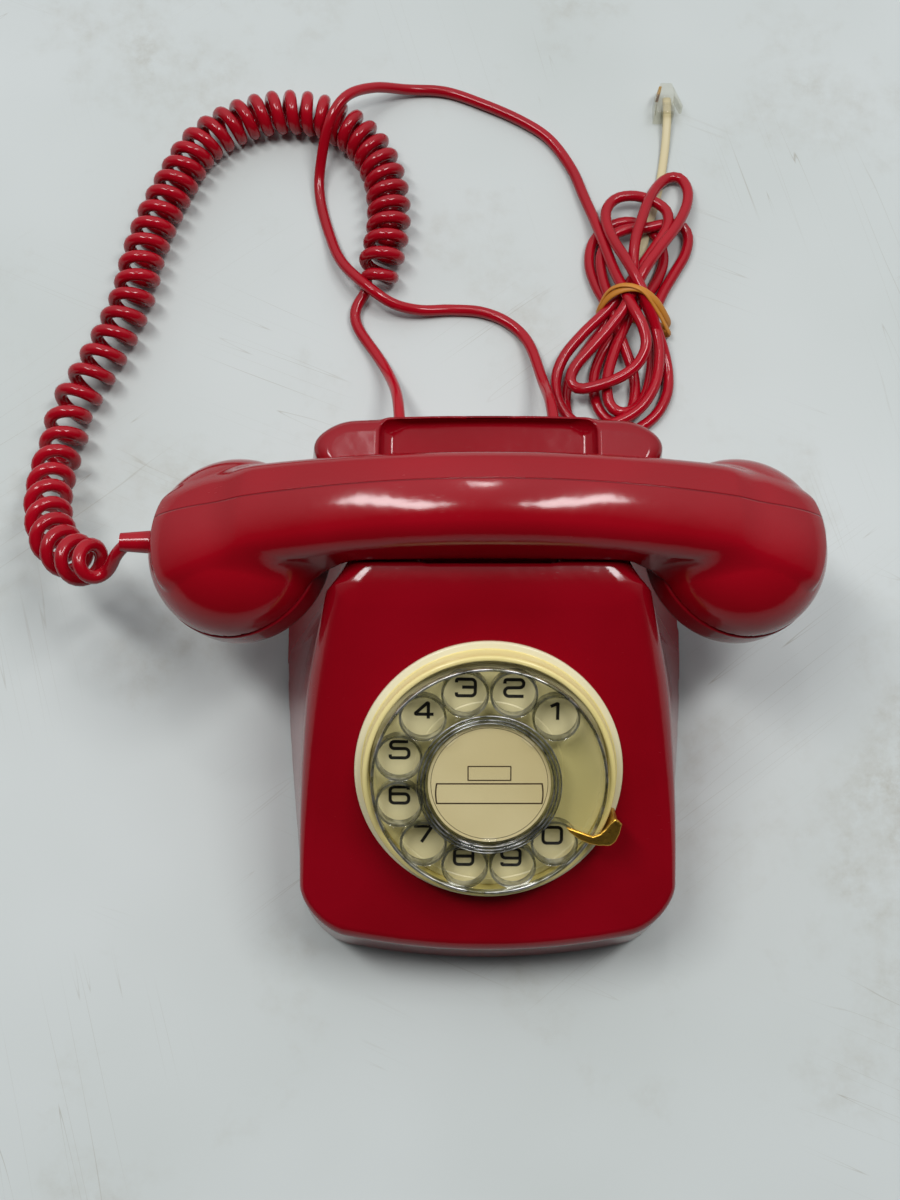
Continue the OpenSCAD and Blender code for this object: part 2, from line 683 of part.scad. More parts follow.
grip_steps = [for (d = [1.4, 2.2, 3.4, 5.2, 8, 12, 18, 26, 34, 42, 48, 53, 58, 63, 68, 74, 84, 96]) end_x - d];

capsule_h = 10;
cap_wall = 5;
ledge = 2;

// Moves its children onto a cap's seam circle: side 1 is the earpiece, side -1 the mouthpiece.
module on_mouth(side) {
    translate([side * cap_x, cap_y, mouth_z]) rotate([0, side * cap_tilt, 0]) children();
}

module dome() {
    rotate_extrude($fn = 96) polygon(concat([[0, -3], [mouth_r, -3]],
        [for (a = [0 : 6 : 90]) [mouth_r * pow(cos(a), 0.9), dome_h * pow(sin(a), 0.9)]]));
}

module handset_shell() {
    n = len(grip_steps);
    color(red) difference() {
        union() {
            skin(concat([for (x = grip_steps) grip_ring(-x)], [for (i = [n - 1 : -1 : 0]) grip_ring(grip_steps[i])]));
            for (s = [-1, 1]) on_mouth(s) dome();
        }
        for (s = [-1, 1]) on_mouth(s) {
            translate([0, 0, -30]) cylinder(h = 30, r = cap_dia / 2 + 8);
            translate([0, 0, -1]) cylinder(h = capsule_h + 0.5 - ledge, d = capsule_dia + 1);
        }
        translate([-boot_in_x - boot_reach, boot_y, boot_z]) rotate([0, 90, 0]) cylinder(h = boot_reach, d = 8.2);
    }
}

boot_z = mouth_z - 3.5;
boot_y = seat_y - 1;
boot_in_x = end_x - 4.5;
boot_reach = 15.2;
boot_straight = 5;

module cap(holes) {
    r = cap_dia / 2;
    straight = 8;
    bow = cap_h - straight;
    inner = capsule_dia / 2 - 2;
    difference() {
        rotate_extrude($fn = 96) polygon(concat(
            [[0, -cap_h]],
            [for (a = [8 : 8 : 88]) [(r - 0.6) * sin(a), -straight - bow * cos(a)]],
            [[r - 0.3, 0.4 - straight], [r, 1 - straight], [r, -0.6], [r - 0.6, 0], [r - cap_wall, 0],
                [r - cap_wall, -ledge], [inner, -ledge], [inner, -straight]],
            [for (a = [80 : -10 : 10]) [inner * sin(a), -straight - (bow - 2.4) * cos(a)]],
            [[0, 2.4 - cap_h]]));
        for (h = holes) rotate([0, 0, h[1]]) translate([h[0], 0, -cap_h - 1]) cylinder(h = 8, d = 2.6);
    }
}

module earpiece_cap() {
    color(red) on_mouth(1) cap(concat([[0, 0]], [for (i = [0 : 5]) [6, 60 * i]], [for (i = [0 : 11]) [12, 30 * i]]));
}

module mouthpiece_cap() {
    color(red) on_mouth(-1) cap(concat([[0, 0]], [for (i = [0 : 5]) [8, 60 * i]]));
}

module capsule(z_colour) {
    color(z_colour) translate([0, 0, -ledge]) {
        cylinder(h = capsule_h - 3, d = capsule_dia);
        cylinder(h = 1.6, d = cap_dia - 2 * cap_wall - 0.4);
    }
}

module receiver_capsule() { on_mouth(1) capsule(steel); }

module transmitter_capsule() { on_mouth(-1) capsule("#3a3a3a"); }

module handset_boot() {
    color(red) translate([-boot_in_x, boot_y, boot_z]) rotate([0, -90, 0]) {
        cylinder(h = boot_straight, d = 8);
        translate([0, 0, boot_straight]) cylinder(h = boot_reach - boot_straight, d1 = 8, d2 = 6.4);
    }
}

// ---------------------------------------------------------------- cords

// Routes: hand-chosen points in X, distance behind the front edge, and height of the cord's middle.
function placed(points) = [for (p = points) [p[0], p[1] + front_y, p[2]]];
boot_end_x = boot_in_x + boot_reach;
boot_end_y = body_d + boot_l - rear_lean * exit_z / deck_h;
lying = cable_dia / 2 + 0.1;
curl_lying = curl_dia / 2 + 0.1;

curl_route = placed([[-boot_end_x - gap, 133, boot_z - 2], [-boot_end_x - 2.6, 132.6, boot_z - 2.6],
    [-133, 130, 69], [-140, 132, 61], [-149, 139, 50], [-158, 150, 38], [-164, 163, 26], [-167, 175, 17],
    [-168, 188, 10], [-167, 200, curl_lying],
    [-163, 212, curl_lying], [-155, 228, curl_lying], [-147, 245, curl_lying], [-141, 262, curl_lying],
    [-138, 279, curl_lying], [-133, 296, curl_lying], [-126, 313, curl_lying], [-117, 330, curl_lying],
    [-103, 341, curl_lying], [-88, 346, curl_lying], [-73, 346, curl_lying], [-59, 341, curl_lying],
    [-47, 330, curl_lying], [-40, 315, curl_lying], [-38, 298, curl_lying], [-40, 282, curl_lying]]);

tail_route = placed([[-40, 281.5, curl_lying], [-42, 277, 5], [-47, 271, lying], [-51, 264, lying],
    [-48, 257, lying], [-43, 249, lying], [-38, 237, 4], [-35, 222, 13], [-33, 210, 24],
    [-exit_left_x, boot_end_y, exit_z]]);

line_route = placed([[exit_right_x, boot_end_y, exit_z], [26, 209, 24], [24, 222, 13], [19, 243, 4], [11, 253, lying],
    [0, 258, lying], [-13, 259, lying], [-25, 258, 4], [-36, 259, 8], [-46, 265, 11], [-57, 278, 7],
    [-63, 294, lying], [-67, 310, lying], [-67, 322, 6], [-63, 336, 17], [-56, 347, 20], [-45, 356, 13],
    [-31, 361, 4], [-15, 361, lying], [1, 355, lying], [17, 347, lying], [29, 338, lying], [38, 326, lying],
    [43, 314, 3.5], [46, 305, 5.5], [49, 300, 7.5], [52.7, 297.5, 8.5]]);

lead_route = placed([[68, 272, 1.4], [71, 290, 1.4], [75, 308, 1.4], [77, 328, 1.4], [79, 347, 3.5]]);

module curly_cord() { color(red) tube(curve(curl_route, 1), curl_dia, 12); }

module curly_tail() { color(red) tube(tail_route, cable_dia, 8); }

module line_cord() { color(red) tube(line_route, cable_dia, 8); }

module flat_lead() { color("#d9cda8") tube(lead_route, 2.6, 8); }

module cord_boot(x) {
    color(red) translate([x, front_y + boot_end_y, exit_z]) rotate([90, 0, 0]) {
        cylinder(h = 4, d1 = boot_dia - 1, d2 = boot_dia);
        translate([0, 0, 4]) cylinder(h = boot_l + wall, d = boot_dia);
    }
}

module cord_boot_left() { cord_boot(-exit_left_x); }

module cord_boot_right() { cord_boot(exit_right_x); }

hank_z = 3.2;
hank_h = 13;
waist_x = 61;
band_y = 262;
band_in = 26;
band_w = 5;
band_t = 1.3;

// One loop of the hank as a flat ring with round ends, from a to b, half as wide as w at each.
module loop(a, b, wa, wb) {
    difference() {
        hull() { translate(a) circle(d = wa, $fn = 32); translate(b) circle(d = wb, $fn = 32); }
        hull() {
            translate(lerp(a, b, 0.12)) circle(d = wa - 24, $fn = 24);
            translate(lerp(a, b, 0.75)) circle(d = max(4, wb - 24), $fn = 24);
        }
    }
}

module cord_hank() {
    color(red) translate([0, front_y, hank_z]) linear_extrude(hank_h) difference() {
        union() {
            loop([49, 229], [waist_x, band_y], 44, 25);
            loop([71, 302], [waist_x, band_y], 34, 25);
        }
        for (s = [-1, 1]) translate([waist_x + s * (band_in / 2 + 10 - gap), band_y])
            square([20, band_w + 2 * gap], center = true);
    }
}

module rubber_band() {
    color("#d8923a") translate([waist_x, front_y + band_y, hank_z + hank_h / 2]) rotate([90, 0, 0])
        linear_extrude(band_w, center = true) difference() {
            square([band_in + 2 * band_t, hank_h + 2 * gap + 2 * band_t], center = true);
            square([band_in, hank_h + 2 * gap], center = true);
        }
}

plug_l = 18;
plug_w = 8;
plug_t = 9.6;
blade_t = 0.4;

module modular_plug() {
    color(clear) translate([79 - plug_w / 2, front_y + 347, 0]) difference() {
        union() {
            cube([plug_w, plug_l, plug_t]);
            translate([plug_w, plug_l, 1.8]) rotate([0, 0, -104]) cube([14, 1.2, 6]);
            translate([plug_w - 0.5, plug_l - 3, 1.8]) cube([1.6, 3, 6]);
        }
        translate([-1, plug_l - 6, 1.5]) cube([1.6, 7, 6.6]);
    }
}

module plug_contacts() {
    color("#d9a441") for (i = [0 : 3])
        translate([79 - plug_w / 2 - 0.1, front_y + 347 + plug_l - 5.6, 2 + i * 1.7]) cube([0.7, 4.6, blade_t]);
}

case();
base_plate();
rubber_feet();
case_screws();
dial_bezel();
number_plate();
finger_stop();
dial_chassis();
dial_screws();
finger_wheel();
hub_ring();
number_card();
card_cover();
dial_shaft();
main_gear();
return_spring();
pulse_gear();
pulse_contacts();
hook_frame();
hook_plunger_left();
hook_plunger_right();
hook_bar();
hook_contacts();
circuit_board();
induction_coil();
capacitor();
terminal_block();
ringer_bracket();
ringer_coil();
gong_large();
gong_small();
gong_posts();
clapper();
handset_shell();
earpiece_cap();
mouthpiece_cap();
receiver_capsule();
transmitter_capsule();
handset_boot();
curly_cord();
curly_tail();
cord_boot_left();
cord_boot_right();
line_cord();
cord_hank();
rubber_band();
flat_lead();
modular_plug();
plug_contacts();
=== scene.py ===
# Looks of the desk telephone: finished surfaces, cords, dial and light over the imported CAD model.
# Shapes are worked out in millimetres, in the CAD's own frame, and turned into metres as meshes are made.
import math

import bpy
import numpy as np
from mathutils import Matrix, Vector


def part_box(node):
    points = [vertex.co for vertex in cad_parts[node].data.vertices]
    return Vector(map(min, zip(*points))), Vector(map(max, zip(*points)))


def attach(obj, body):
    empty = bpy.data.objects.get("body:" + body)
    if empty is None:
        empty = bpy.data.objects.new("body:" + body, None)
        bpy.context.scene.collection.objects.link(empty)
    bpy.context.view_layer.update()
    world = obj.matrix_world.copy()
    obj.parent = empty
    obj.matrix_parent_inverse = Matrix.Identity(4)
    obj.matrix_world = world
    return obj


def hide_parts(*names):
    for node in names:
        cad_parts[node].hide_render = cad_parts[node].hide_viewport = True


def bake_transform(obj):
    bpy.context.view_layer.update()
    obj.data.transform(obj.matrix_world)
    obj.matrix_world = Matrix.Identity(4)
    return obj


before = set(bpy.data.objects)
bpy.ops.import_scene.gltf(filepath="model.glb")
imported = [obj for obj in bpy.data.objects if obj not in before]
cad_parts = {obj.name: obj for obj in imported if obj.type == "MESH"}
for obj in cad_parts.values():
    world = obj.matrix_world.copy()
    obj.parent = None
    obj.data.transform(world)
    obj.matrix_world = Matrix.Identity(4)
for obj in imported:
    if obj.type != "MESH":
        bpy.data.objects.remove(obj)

bpy.context.scene.view_settings.view_transform = "Standard"

MM = 0.001
TAU = 2 * math.pi
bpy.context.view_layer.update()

# ---------------------------------------------------------------- sizes, as in the CAD

case_lo, case_hi = [np.array(p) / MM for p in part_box("case")]
DECK_H = case_hi[2]
BODY_D = 192.0
FRONT_Y = -BODY_D / 2
EDGE_H = 36.0
SLOPE = math.radians(30)
DIAL_UP = 65.0
WALL = 2.6
RIM_H = 2.0
FOOT_FRONT_W, FOOT_REAR_W = 129.0, 158.0
FACE_LOW_W, FACE_TOP_W, WAIST_W = 129.0, 108.0, 87.0
REAR_LEAN = 21.0
FACE_L = (DECK_H - EDGE_H) / math.tan(SLOPE)
SEAT = 136.0
SEAT_Y = FRONT_Y + SEAT
FLARE, FLARE_RUN = 18.5, 30.0
TROUGH_D, TROUGH_Z = 33.0, DECK_H - 3.3
RECESS_W, RECESS_Z, RECESS_RISE = 73.0, DECK_H - 4.0, 0.18
RECESS_EDGE = BODY_D - REAR_LEAN - 1.0
END_BOW = 3.0
CHANNEL_Z = DECK_H - 15
CHANNEL_W = 46.0
PLUNGER_X = WAIST_W / 2 - 9.5
DIAL_BORE_R, BORE_R = 38.0, 3.3

CABLE = 5.0
CORD = 4.5
CURL = 18.4
EXIT_Z = 30.0
EXIT_LEFT, EXIT_RIGHT = -32.0, 27.0

# ---------------------------------------------------------------- small mathematics


def lerp(a, b, s):
    return a + (b - a) * s


def smooth(v):
    c = np.clip(v, 0, 1)
    return c * c * (3 - 2 * c)


def both(a, b, r):
    """What two forms have in common, the edge between them rounded by r. Inside is below zero."""
    u = np.maximum(a + r, 0)
    v = np.maximum(b + r, 0)
    return np.minimum(np.maximum(a, b), -r) + np.hypot(u, v)


def either(a, b, r):
    """Two forms joined, with a fillet of radius r."""
    return -both(-a, -b, r)


def without(a, b, r):
    """Form a with form b cut out, the cut's edges rounded by r."""
    return both(a, -b, r)


def linear(code):
    """Linear colour of a hex colour as it is seen on screen."""
    parts = [int(code[i:i + 2], 16) / 255 for i in (1, 3, 5)]
    return [c / 12.92 if c <= 0.04045 else ((c + 0.055) / 1.055) ** 2.4 for c in parts] + [1.0]


# ---------------------------------------------------------------- meshes


def gradient(field, p, h=0.06):
    """Slope of a field at points, from its values a little to each side of them."""
    cols = []
    for axis in range(3):
        d = np.zeros(3)
        d[axis] = h
        a, b = p + d, p - d
        cols.append((field(a[:, 0], a[:, 1], a[:, 2]) - field(b[:, 0], b[:, 1], b[:, 2])) / (2 * h))
    return np.stack(cols, axis=1)


def settle(field, p, rounds=3, reach=0.5):
    """Moves points onto the surface where the field is zero."""
    for _ in range(rounds):
        g = gradient(field, p)
        f = field(p[:, 0], p[:, 1], p[:, 2])
        step = f / np.maximum((g * g).sum(axis=1), 0.2)
        move = -g * step[:, None]
        size = np.linalg.norm(move, axis=1)
        move *= np.minimum(1, reach / np.maximum(size, 1e-9))[:, None]
        p = p + move
    return p


CORNERS = [(i, j, k) for i in (0, 1) for j in (0, 1) for k in (0, 1)]
CELL_EDGES = [(a, b) for a in CORNERS for b in CORNERS if a < b and sum(abs(m - n) for m, n in zip(a, b)) == 1]


def surface(field, lo, hi, step):
    """Closed quad mesh of the surface where the field is zero, from a grid of the given step."""
    axes = [np.arange(lo[i] - step, hi[i] + 1.5 * step, step) for i in range(3)]
    grid = np.ascontiguousarray(np.broadcast_to(
        field(axes[0][:, None, None], axes[1][None, :, None], axes[2][None, None, :]),
        [len(a) for a in axes]))
    inside = grid < 0
    nx, ny, nz = [n - 1 for n in inside.shape]
    total = sum(inside[i:nx + i, j:ny + j, k:nz + k].astype(np.int8) for i, j, k in CORNERS)
    cells = np.argwhere((total > 0) & (total < 8))
    number = np.full(total.shape, -1, dtype=np.int64)
    number[tuple(cells.T)] = np.arange(len(cells))
    points = np.zeros((len(cells), 3))
    count = np.zeros(len(cells))
    for a, b in CELL_EDGES:
        fa = grid[tuple((cells + a).T)]
        fb = grid[tuple((cells + b).T)]
        crossing = (fa < 0) != (fb < 0)
        t = np.where(crossing, fa / np.where(crossing, fa - fb, 1), 0)
        spot = np.array(a) + t[:, None] * (np.array(b) - np.array(a))
        points += np.where(crossing[:, None], spot, 0)
        count += crossing
    points = (cells + points / count[:, None]) * step + np.array([a[0] for a in axes])
    quads = []
    for axis in range(3):
        first = [slice(1, -1)] * 3
        second = [slice(1, -1)] * 3
        first[axis] = slice(0, -1)
        second[axis] = slice(1, None)
        here, there = inside[tuple(first)], inside[tuple(second)]
        b, c = (axis + 1) % 3, (axis + 2) % 3
        offset = np.ones(3, dtype=int)
        offset[axis] = 0
        for flip in (False, True):
            spots = np.argwhere(here & ~there if not flip else ~here & there) + offset
            ring = []
            for db, dc in ((-1, -1), (0, -1), (0, 0), (-1, 0)):
                shifted = spots.copy()
                shifted[:, b] += db
                shifted[:, c] += dc
                ring.append(number[tuple(shifted.T)])
            quads.append(np.stack(ring[::-1] if flip else ring, axis=1))
    return settle(field, points), np.concatenate(quads)


def add_object(name, mesh, material, body, nodes=()):
    """Finished piece: its material, the body that it rides on and the CAD nodes that it replaces."""
    mesh.name = name
    mesh.materials.append(material)
    obj = bpy.data.objects.new(name, mesh)
    bpy.context.scene.collection.objects.link(obj)
    if body:
        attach(obj, body)
    if nodes:
        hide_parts(*nodes)
    return obj


def shaded(mesh, smooth=True):
    mesh.polygons.foreach_set("use_smooth", [smooth] * len(mesh.polygons))
    return mesh


def sharpened(mesh, angle=40):
    """The edges over the angle left sharp in a smooth mesh."""
    mesh.set_sharp_from_angle(angle=math.radians(angle))
    return mesh


def make_mesh(points, faces):
    """Smooth mesh in metres from points in millimetres; faces are lists or an array of rings of numbers."""
    mesh = bpy.data.meshes.new("draft")
    if isinstance(faces, np.ndarray):
        n, sides = faces.shape
        mesh.vertices.add(len(points))
        mesh.vertices.foreach_set("co", (np.asarray(points) * MM).ravel())
        mesh.loops.add(n * sides)
        mesh.loops.foreach_set("vertex_index", faces.ravel().astype(np.int32))
        mesh.polygons.add(n)
        mesh.polygons.foreach_set("loop_start", np.arange(0, n * sides, sides, dtype=np.int32))
        mesh.polygons.foreach_set("loop_total", np.full(n, sides, dtype=np.int32))
    else:
        mesh.from_pydata([tuple(c * MM for c in p) for p in points], [], faces)
    mesh.update(calc_edges=True)
    mesh.validate()
    return shaded(mesh)


def modified(mesh, kind, inputs=None, **settings):
    """Plain mesh of what one modifier makes of a mesh; inputs are those of a Geometry Nodes tree, by label."""
    obj = bpy.data.objects.new("draft", mesh)
    bpy.context.scene.collection.objects.link(obj)
    modifier = obj.modifiers.new("draft", kind)
    for key, value in settings.items():
        setattr(modifier, key, value)
    if inputs:
        for item in modifier.node_group.interface.items_tree:
            if item.in_out == "INPUT" and item.name in inputs:
                modifier[item.identifier] = inputs[item.name]
    depsgraph = bpy.context.evaluated_depsgraph_get()
    result = bpy.data.meshes.new_from_object(obj.evaluated_get(depsgraph))
    obj.modifiers.remove(modifier)
    bpy.data.objects.remove(obj)
    bpy.data.meshes.remove(mesh)
    return result


def formed(field, lo, hi, step, limit=190000):
    """Mesh of a field, thinned to a limit of triangles, with its normals taken from the field itself."""
    points, faces = surface(field, lo, hi, step)
    mesh = make_mesh(points, faces)
    if 2 * len(faces) > limit:
        mesh = modified(mesh, "DECIMATE", ratio=limit / (2 * len(faces)))
    co = np.empty(3 * len(mesh.vertices))
    mesh.vertices.foreach_get("co", co)
    points = settle(field, co.reshape(-1, 3) / MM, rounds=2, reach=0.2)
    mesh.vertices.foreach_set("co", (points * MM).ravel())
    mesh.update()
    outward = gradient(field, points)
    outward /= np.maximum(np.linalg.norm(outward, axis=1), 1e-9)[:, None]
    shaded(mesh).normals_split_custom_set_from_vertices(outward.tolist())
    return mesh


def sweep(centres, radius, sides, flat=1.0):
    """Closed tube round a line of points; radius is a number or one for each point."""
    centres = np.asarray(centres, float)
    n = len(centres)
    radii = np.broadcast_to(radius, n)
    along = np.gradient(centres, axis=0)
    along /= np.linalg.norm(along, axis=1)[:, None]
    side = np.cross(along[0], [0, 0, 1])
    side /= np.linalg.norm(side)
    angles = np.arange(sides) * TAU / sides
    points = []
    for i in range(n):
        side = side - along[i] * side.dot(along[i])
        side /= np.linalg.norm(side)
        up = np.cross(along[i], side)
        points.append(centres[i] + radii[i] * (np.cos(angles)[:, None] * side + flat * np.sin(angles)[:, None] * up))
    points = np.concatenate(points + [centres[:1], centres[-1:]])
    faces = []
    for i in range(n - 1):
        for k in range(sides):
            a, b = i * sides + k, i * sides + (k + 1) % sides
            faces.append((a, b, b + sides, a + sides))
    first, last = n * sides, n * sides + 1
    for k in range(sides):
        faces.append((first, (k + 1) % sides, k))
        faces.append((last, (n - 1) * sides + k, (n - 1) * sides + (k + 1) % sides))
    return points, faces


def joined(parts):
    """Several closed bodies as one list of points and faces."""
    points, faces = [], []
    for p, f in parts:
        start = len(points)
        points += [tuple(v) for v in p]
        faces += [tuple(start + i for i in face) for face in f]
    return points, faces


def line_through(points, step):
    """Smooth line through given points, at even steps along it."""
    p = np.asarray(points, float)
    p = np.vstack([2 * p[0] - p[1], p, 2 * p[-1] - p[-2]])
    fine = []
    for i in range(1, len(p) - 2):
        a, b, c, d = p[i - 1:i + 3]
        for s in np.arange(0, 1, 0.05):
            fine.append(0.5 * (2 * b + (c - a) * s + (2 * a - 5 * b + 4 * c - d) * s ** 2
                               + (3 * b - a - 3 * c + d) * s ** 3))
    fine.append(p[-2])
    fine = np.array(fine)
    run = np.concatenate([[0], np.cumsum(np.linalg.norm(np.diff(fine, axis=0), axis=1))])
    stops = np.linspace(0, run[-1], max(2, int(round(run[-1] / step)) + 1))
    return np.stack([np.interp(stops, run, fine[:, k]) for k in range(3)], axis=1)


def rounded(points, radius, closed=True, steps=5):
    """Outline with its corners rounded; radius is a number or one for each corner."""
    n = len(points)
    radii = radius if isinstance(radius, (list, tuple)) else [radius] * n
    out = []
    for i in range(n):
        p = np.array(points[i], float)
        if radii[i] == 0 or (not closed and i in (0, n - 1)):
            out.append(tuple(p))
            continue
        a = np.array(points[i - 1], float) - p
        b = np.array(points[(i + 1) % n], float) - p
        la, lb = np.linalg.norm(a), np.linalg.norm(b)
        a /= la
        b /= lb
        half = math.acos(max(-1, min(1, a.dot(b)))) / 2
        cut = min(radii[i] / math.tan(half), 0.49 * la, 0.49 * lb)
        r = cut * math.tan(half)
        centre = p + (a + b) / np.linalg.norm(a + b) * r / math.sin(half)
        start = p + a * cut - centre
        end = p + b * cut - centre
        turn = math.atan2(start[0] * end[1] - start[1] * end[0], start.dot(end))
        for k in range(steps + 1):
            t = turn * k / steps
            out.append((centre[0] + start[0] * math.cos(t) - start[1] * math.sin(t),
                        centre[1] + start[0] * math.sin(t) + start[1] * math.cos(t)))
    return out


def revolve(profile, segments=160):
    """Closed body from an outline of (radius, height) points, anticlockwise in that plane."""
    n = len(profile)
    points = [(r * math.cos(TAU * i / segments), r * math.sin(TAU * i / segments), z)
              for i in range(segments) for r, z in profile]
    faces = []
    for i in range(segments):
        j = (i + 1) % segments
        for k in range(n):
            m = (k + 1) % n
            faces.append((i * n + k, j * n + k, j * n + m, i * n + m))
    return np.array(points), faces


C, S = math.cos(SLOPE), math.sin(SLOPE)


def to_dial(x, y, z):
    """Place in the dial's frame: x to the right, y up the slope, z along the face's normal."""
    dy, dz = y - FRONT_Y, z - EDGE_H
    return x, dy * C + dz * S - DIAL_UP, dz * C - dy * S


# ---------------------------------------------------------------- materials

# What the patterns show, in millimetres from one spot to the next.
DRIFT = 45.45       # clouds in the colour of a moulding
PATCH = 33.33       # areas that hands have rubbed dull
SCUFF = 3.846       # rub marks; real ones are finer and would not show, so they are drawn coarser
RIPPLE = 11.11      # sink and flow marks of a moulding
SHEET_RIPPLE = 7.692
SMEAR = 22.22       # finger marks on clear plastic
GLINT = 6.667       # bright spots on polished edges
DRAWN = 1.1111      # grain of drawn metal, drawn coarser than the real tenth of a millimetre so that it shows
STAIN = 16.67       # tarnish
WHITE = (1, 1, 1, 1)


def per(size):
    """Scale of a pattern whose spots are this many millimetres apart."""
    return 1 / (size * MM)


def fresh(kind, name):
    """New material or world, and its empty node tree."""
    data = kind.new(name)
    data.use_nodes = True
    data.node_tree.nodes.clear()
    return data, data.node_tree


def add(tree, kind, links=None, **settings):
    """One node: settings by property name, inputs by name or number from a value, a node or a node's output."""
    node = tree.nodes.new(kind if "Node" in kind else "ShaderNode" + kind)
    for key, value in settings.items():
        setattr(node, key, value)
    for key, value in (links or {}).items():
        if isinstance(value, bpy.types.Node):
            value = value.outputs[0]
        if isinstance(value, bpy.types.NodeSocket):
            tree.links.new(value, node.inputs[key])
        else:
            node.inputs[key].default_value = value
    return node


def plastic(name, colour, dark, rough=0.16, grain=0.0006, wear=0.5, extra=None):
    """Moulded plastic: its colour drifts slightly, its skin ripples faintly, and scuffs dull the gloss in places."""
    mat, tree = fresh(bpy.data.materials, name)
    place = add(tree, "TexCoord").outputs["Object"]
    drift = add(tree, "TexNoise", {"Vector": place, "Scale": per(DRIFT), "Detail": 2.0})
    drift = add(tree, "MapRange", {"Value": drift, "From Min": 0.35, "From Max": 0.65})
    base = add(tree, "Mix", {0: drift, 6: linear(dark), 7: linear(colour)}, data_type="RGBA").outputs[2]
    rubbed = add(tree, "Mapping", {"Vector": place, "Scale": (1.0, 5.0, 1.0)})
    scuffs = add(tree, "TexNoise", {"Vector": rubbed, "Scale": per(SCUFF), "Detail": 2.0, "Roughness": 0.6})
    scuffs = add(tree, "MapRange", {"Value": scuffs, "From Min": 0.62, "From Max": 0.8})
    patches = add(tree, "TexNoise", {"Vector": place, "Scale": per(PATCH), "Detail": 3.0})
    patches = add(tree, "MapRange", {"Value": patches, "From Min": 0.5, "From Max": 0.75})
    dull = add(tree, "Math", {0: scuffs, 1: patches}, operation="MULTIPLY")
    roughness = add(tree, "Math", {0: dull, 1: wear, 2: rough}, operation="MULTIPLY_ADD")
    ripple = add(tree, "TexNoise", {"Vector": place, "Scale": per(RIPPLE), "Detail": 2.0})
    bump = add(tree, "Bump", {"Height": ripple, "Strength": 0.25, "Distance": grain})
    shader = add(tree, "BsdfPrincipled", {"Base Color": base, "Roughness": roughness, "Normal": bump,
                                          "IOR": 1.52, "Specular IOR Level": 0.36})
    if extra:
        extra(tree, place, shader, base, bump)
    add(tree, "OutputMaterial", {"Surface": shader})
    return mat


def metal(name, colour, rough=0.25, drawn=(1.0, 12.0, 1.0)):
    """Drawn or plated metal: a fine grain along one way and a little uneven tarnish."""
    mat, tree = fresh(bpy.data.materials, name)
    place = add(tree, "TexCoord").outputs["Object"]
    along = add(tree, "Mapping", {"Vector": place, "Scale": drawn})
    grain = add(tree, "TexNoise", {"Vector": along, "Scale": per(DRAWN), "Detail": 2.0, "Roughness": 0.6})
    stain = add(tree, "TexNoise", {"Vector": place, "Scale": per(STAIN), "Detail": 4.0})
    stain = add(tree, "MapRange", {"Value": stain, "From Min": 0.35, "From Max": 0.7})
    dark = [c * 0.62 for c in linear(colour)[:3]] + [1.0]
    base = add(tree, "Mix", {0: stain, 6: linear(colour), 7: dark}, data_type="RGBA").outputs[2]
    roughness = add(tree, "MapRange", {"Value": grain, "From Min": 0.3, "From Max": 0.7,
                                       "To Min": rough - 0.07, "To Max": rough + 0.12})
    bump = add(tree, "Bump", {"Height": grain, "Strength": 0.1, "Distance": 0.0002})
    shader = add(tree, "BsdfPrincipled", {"Base Color": base, "Metallic": 1.0, "Roughness": roughness,
                                          "Normal": bump})
    add(tree, "OutputMaterial", {"Surface": shader})
    return mat


def clear_sheet(name, tint, gloss=0.03, least=0.0, glints=0.0):
    """Clear moulding as a thin sheet: light passes straight on, the rest mirrors, and its edges are darkened with
    painted shade.
    """
    mat, tree = fresh(bpy.data.materials, name)
    place = add(tree, "TexCoord").outputs["Object"]
    facing = add(tree, "LayerWeight", {"Blend": 0.35}).outputs["Facing"]
    edge = add(tree, "Math", {0: facing, 1: 2.0}, operation="POWER")
    # Painted shade: what is seen through the sheet at a slant is darkened, down to half its tint at the edges.
    painted_edge_shade = [c * 0.5 for c in linear(tint)[:3]] + [1.0]
    seen = add(tree, "Mix", {0: edge, 6: linear(tint), 7: painted_edge_shade}, data_type="RGBA").outputs[2]
    inner = add(tree, "NewGeometry").outputs["Backfacing"]
    outer = add(tree, "Math", {0: 1.0, 1: inner}, operation="SUBTRACT")
    passing = add(tree, "Mix", {0: outer, 6: WHITE, 7: seen}, data_type="RGBA").outputs[2]
    through = add(tree, "BsdfTransparent", {"Color": passing})
    ripple = add(tree, "TexNoise", {"Vector": place, "Scale": per(SHEET_RIPPLE), "Detail": 2.0})
    bump = add(tree, "Bump", {"Height": ripple, "Strength": 0.15, "Distance": 0.0005})
    smears = add(tree, "TexNoise", {"Vector": place, "Scale": per(SMEAR), "Detail": 4.0, "Roughness": 0.6})
    smears = add(tree, "MapRange", {"Value": smears, "From Min": 0.45, "From Max": 0.75,
                                    "To Min": gloss, "To Max": gloss + 0.18})
    mirror = add(tree, "BsdfGlossy", {"Color": WHITE, "Normal": bump, "Roughness": smears})
    share = add(tree, "Fresnel", {"IOR": 1.49, "Normal": bump})
    share = add(tree, "Math", {0: share, 1: outer}, operation="MULTIPLY")
    spots = add(tree, "TexNoise", {"Vector": place, "Scale": per(GLINT), "Detail": 2.0})
    spots = add(tree, "MapRange", {"Value": spots, "From Min": 0.42, "From Max": 0.62,
                                   "To Min": least, "To Max": least + glints})
    share = add(tree, "Math", {0: share, 1: spots}, operation="MAXIMUM")
    mixed = add(tree, "MixShader", {0: share, 1: through, 2: mirror})
    add(tree, "OutputMaterial", {"Surface": mixed})
    return mat


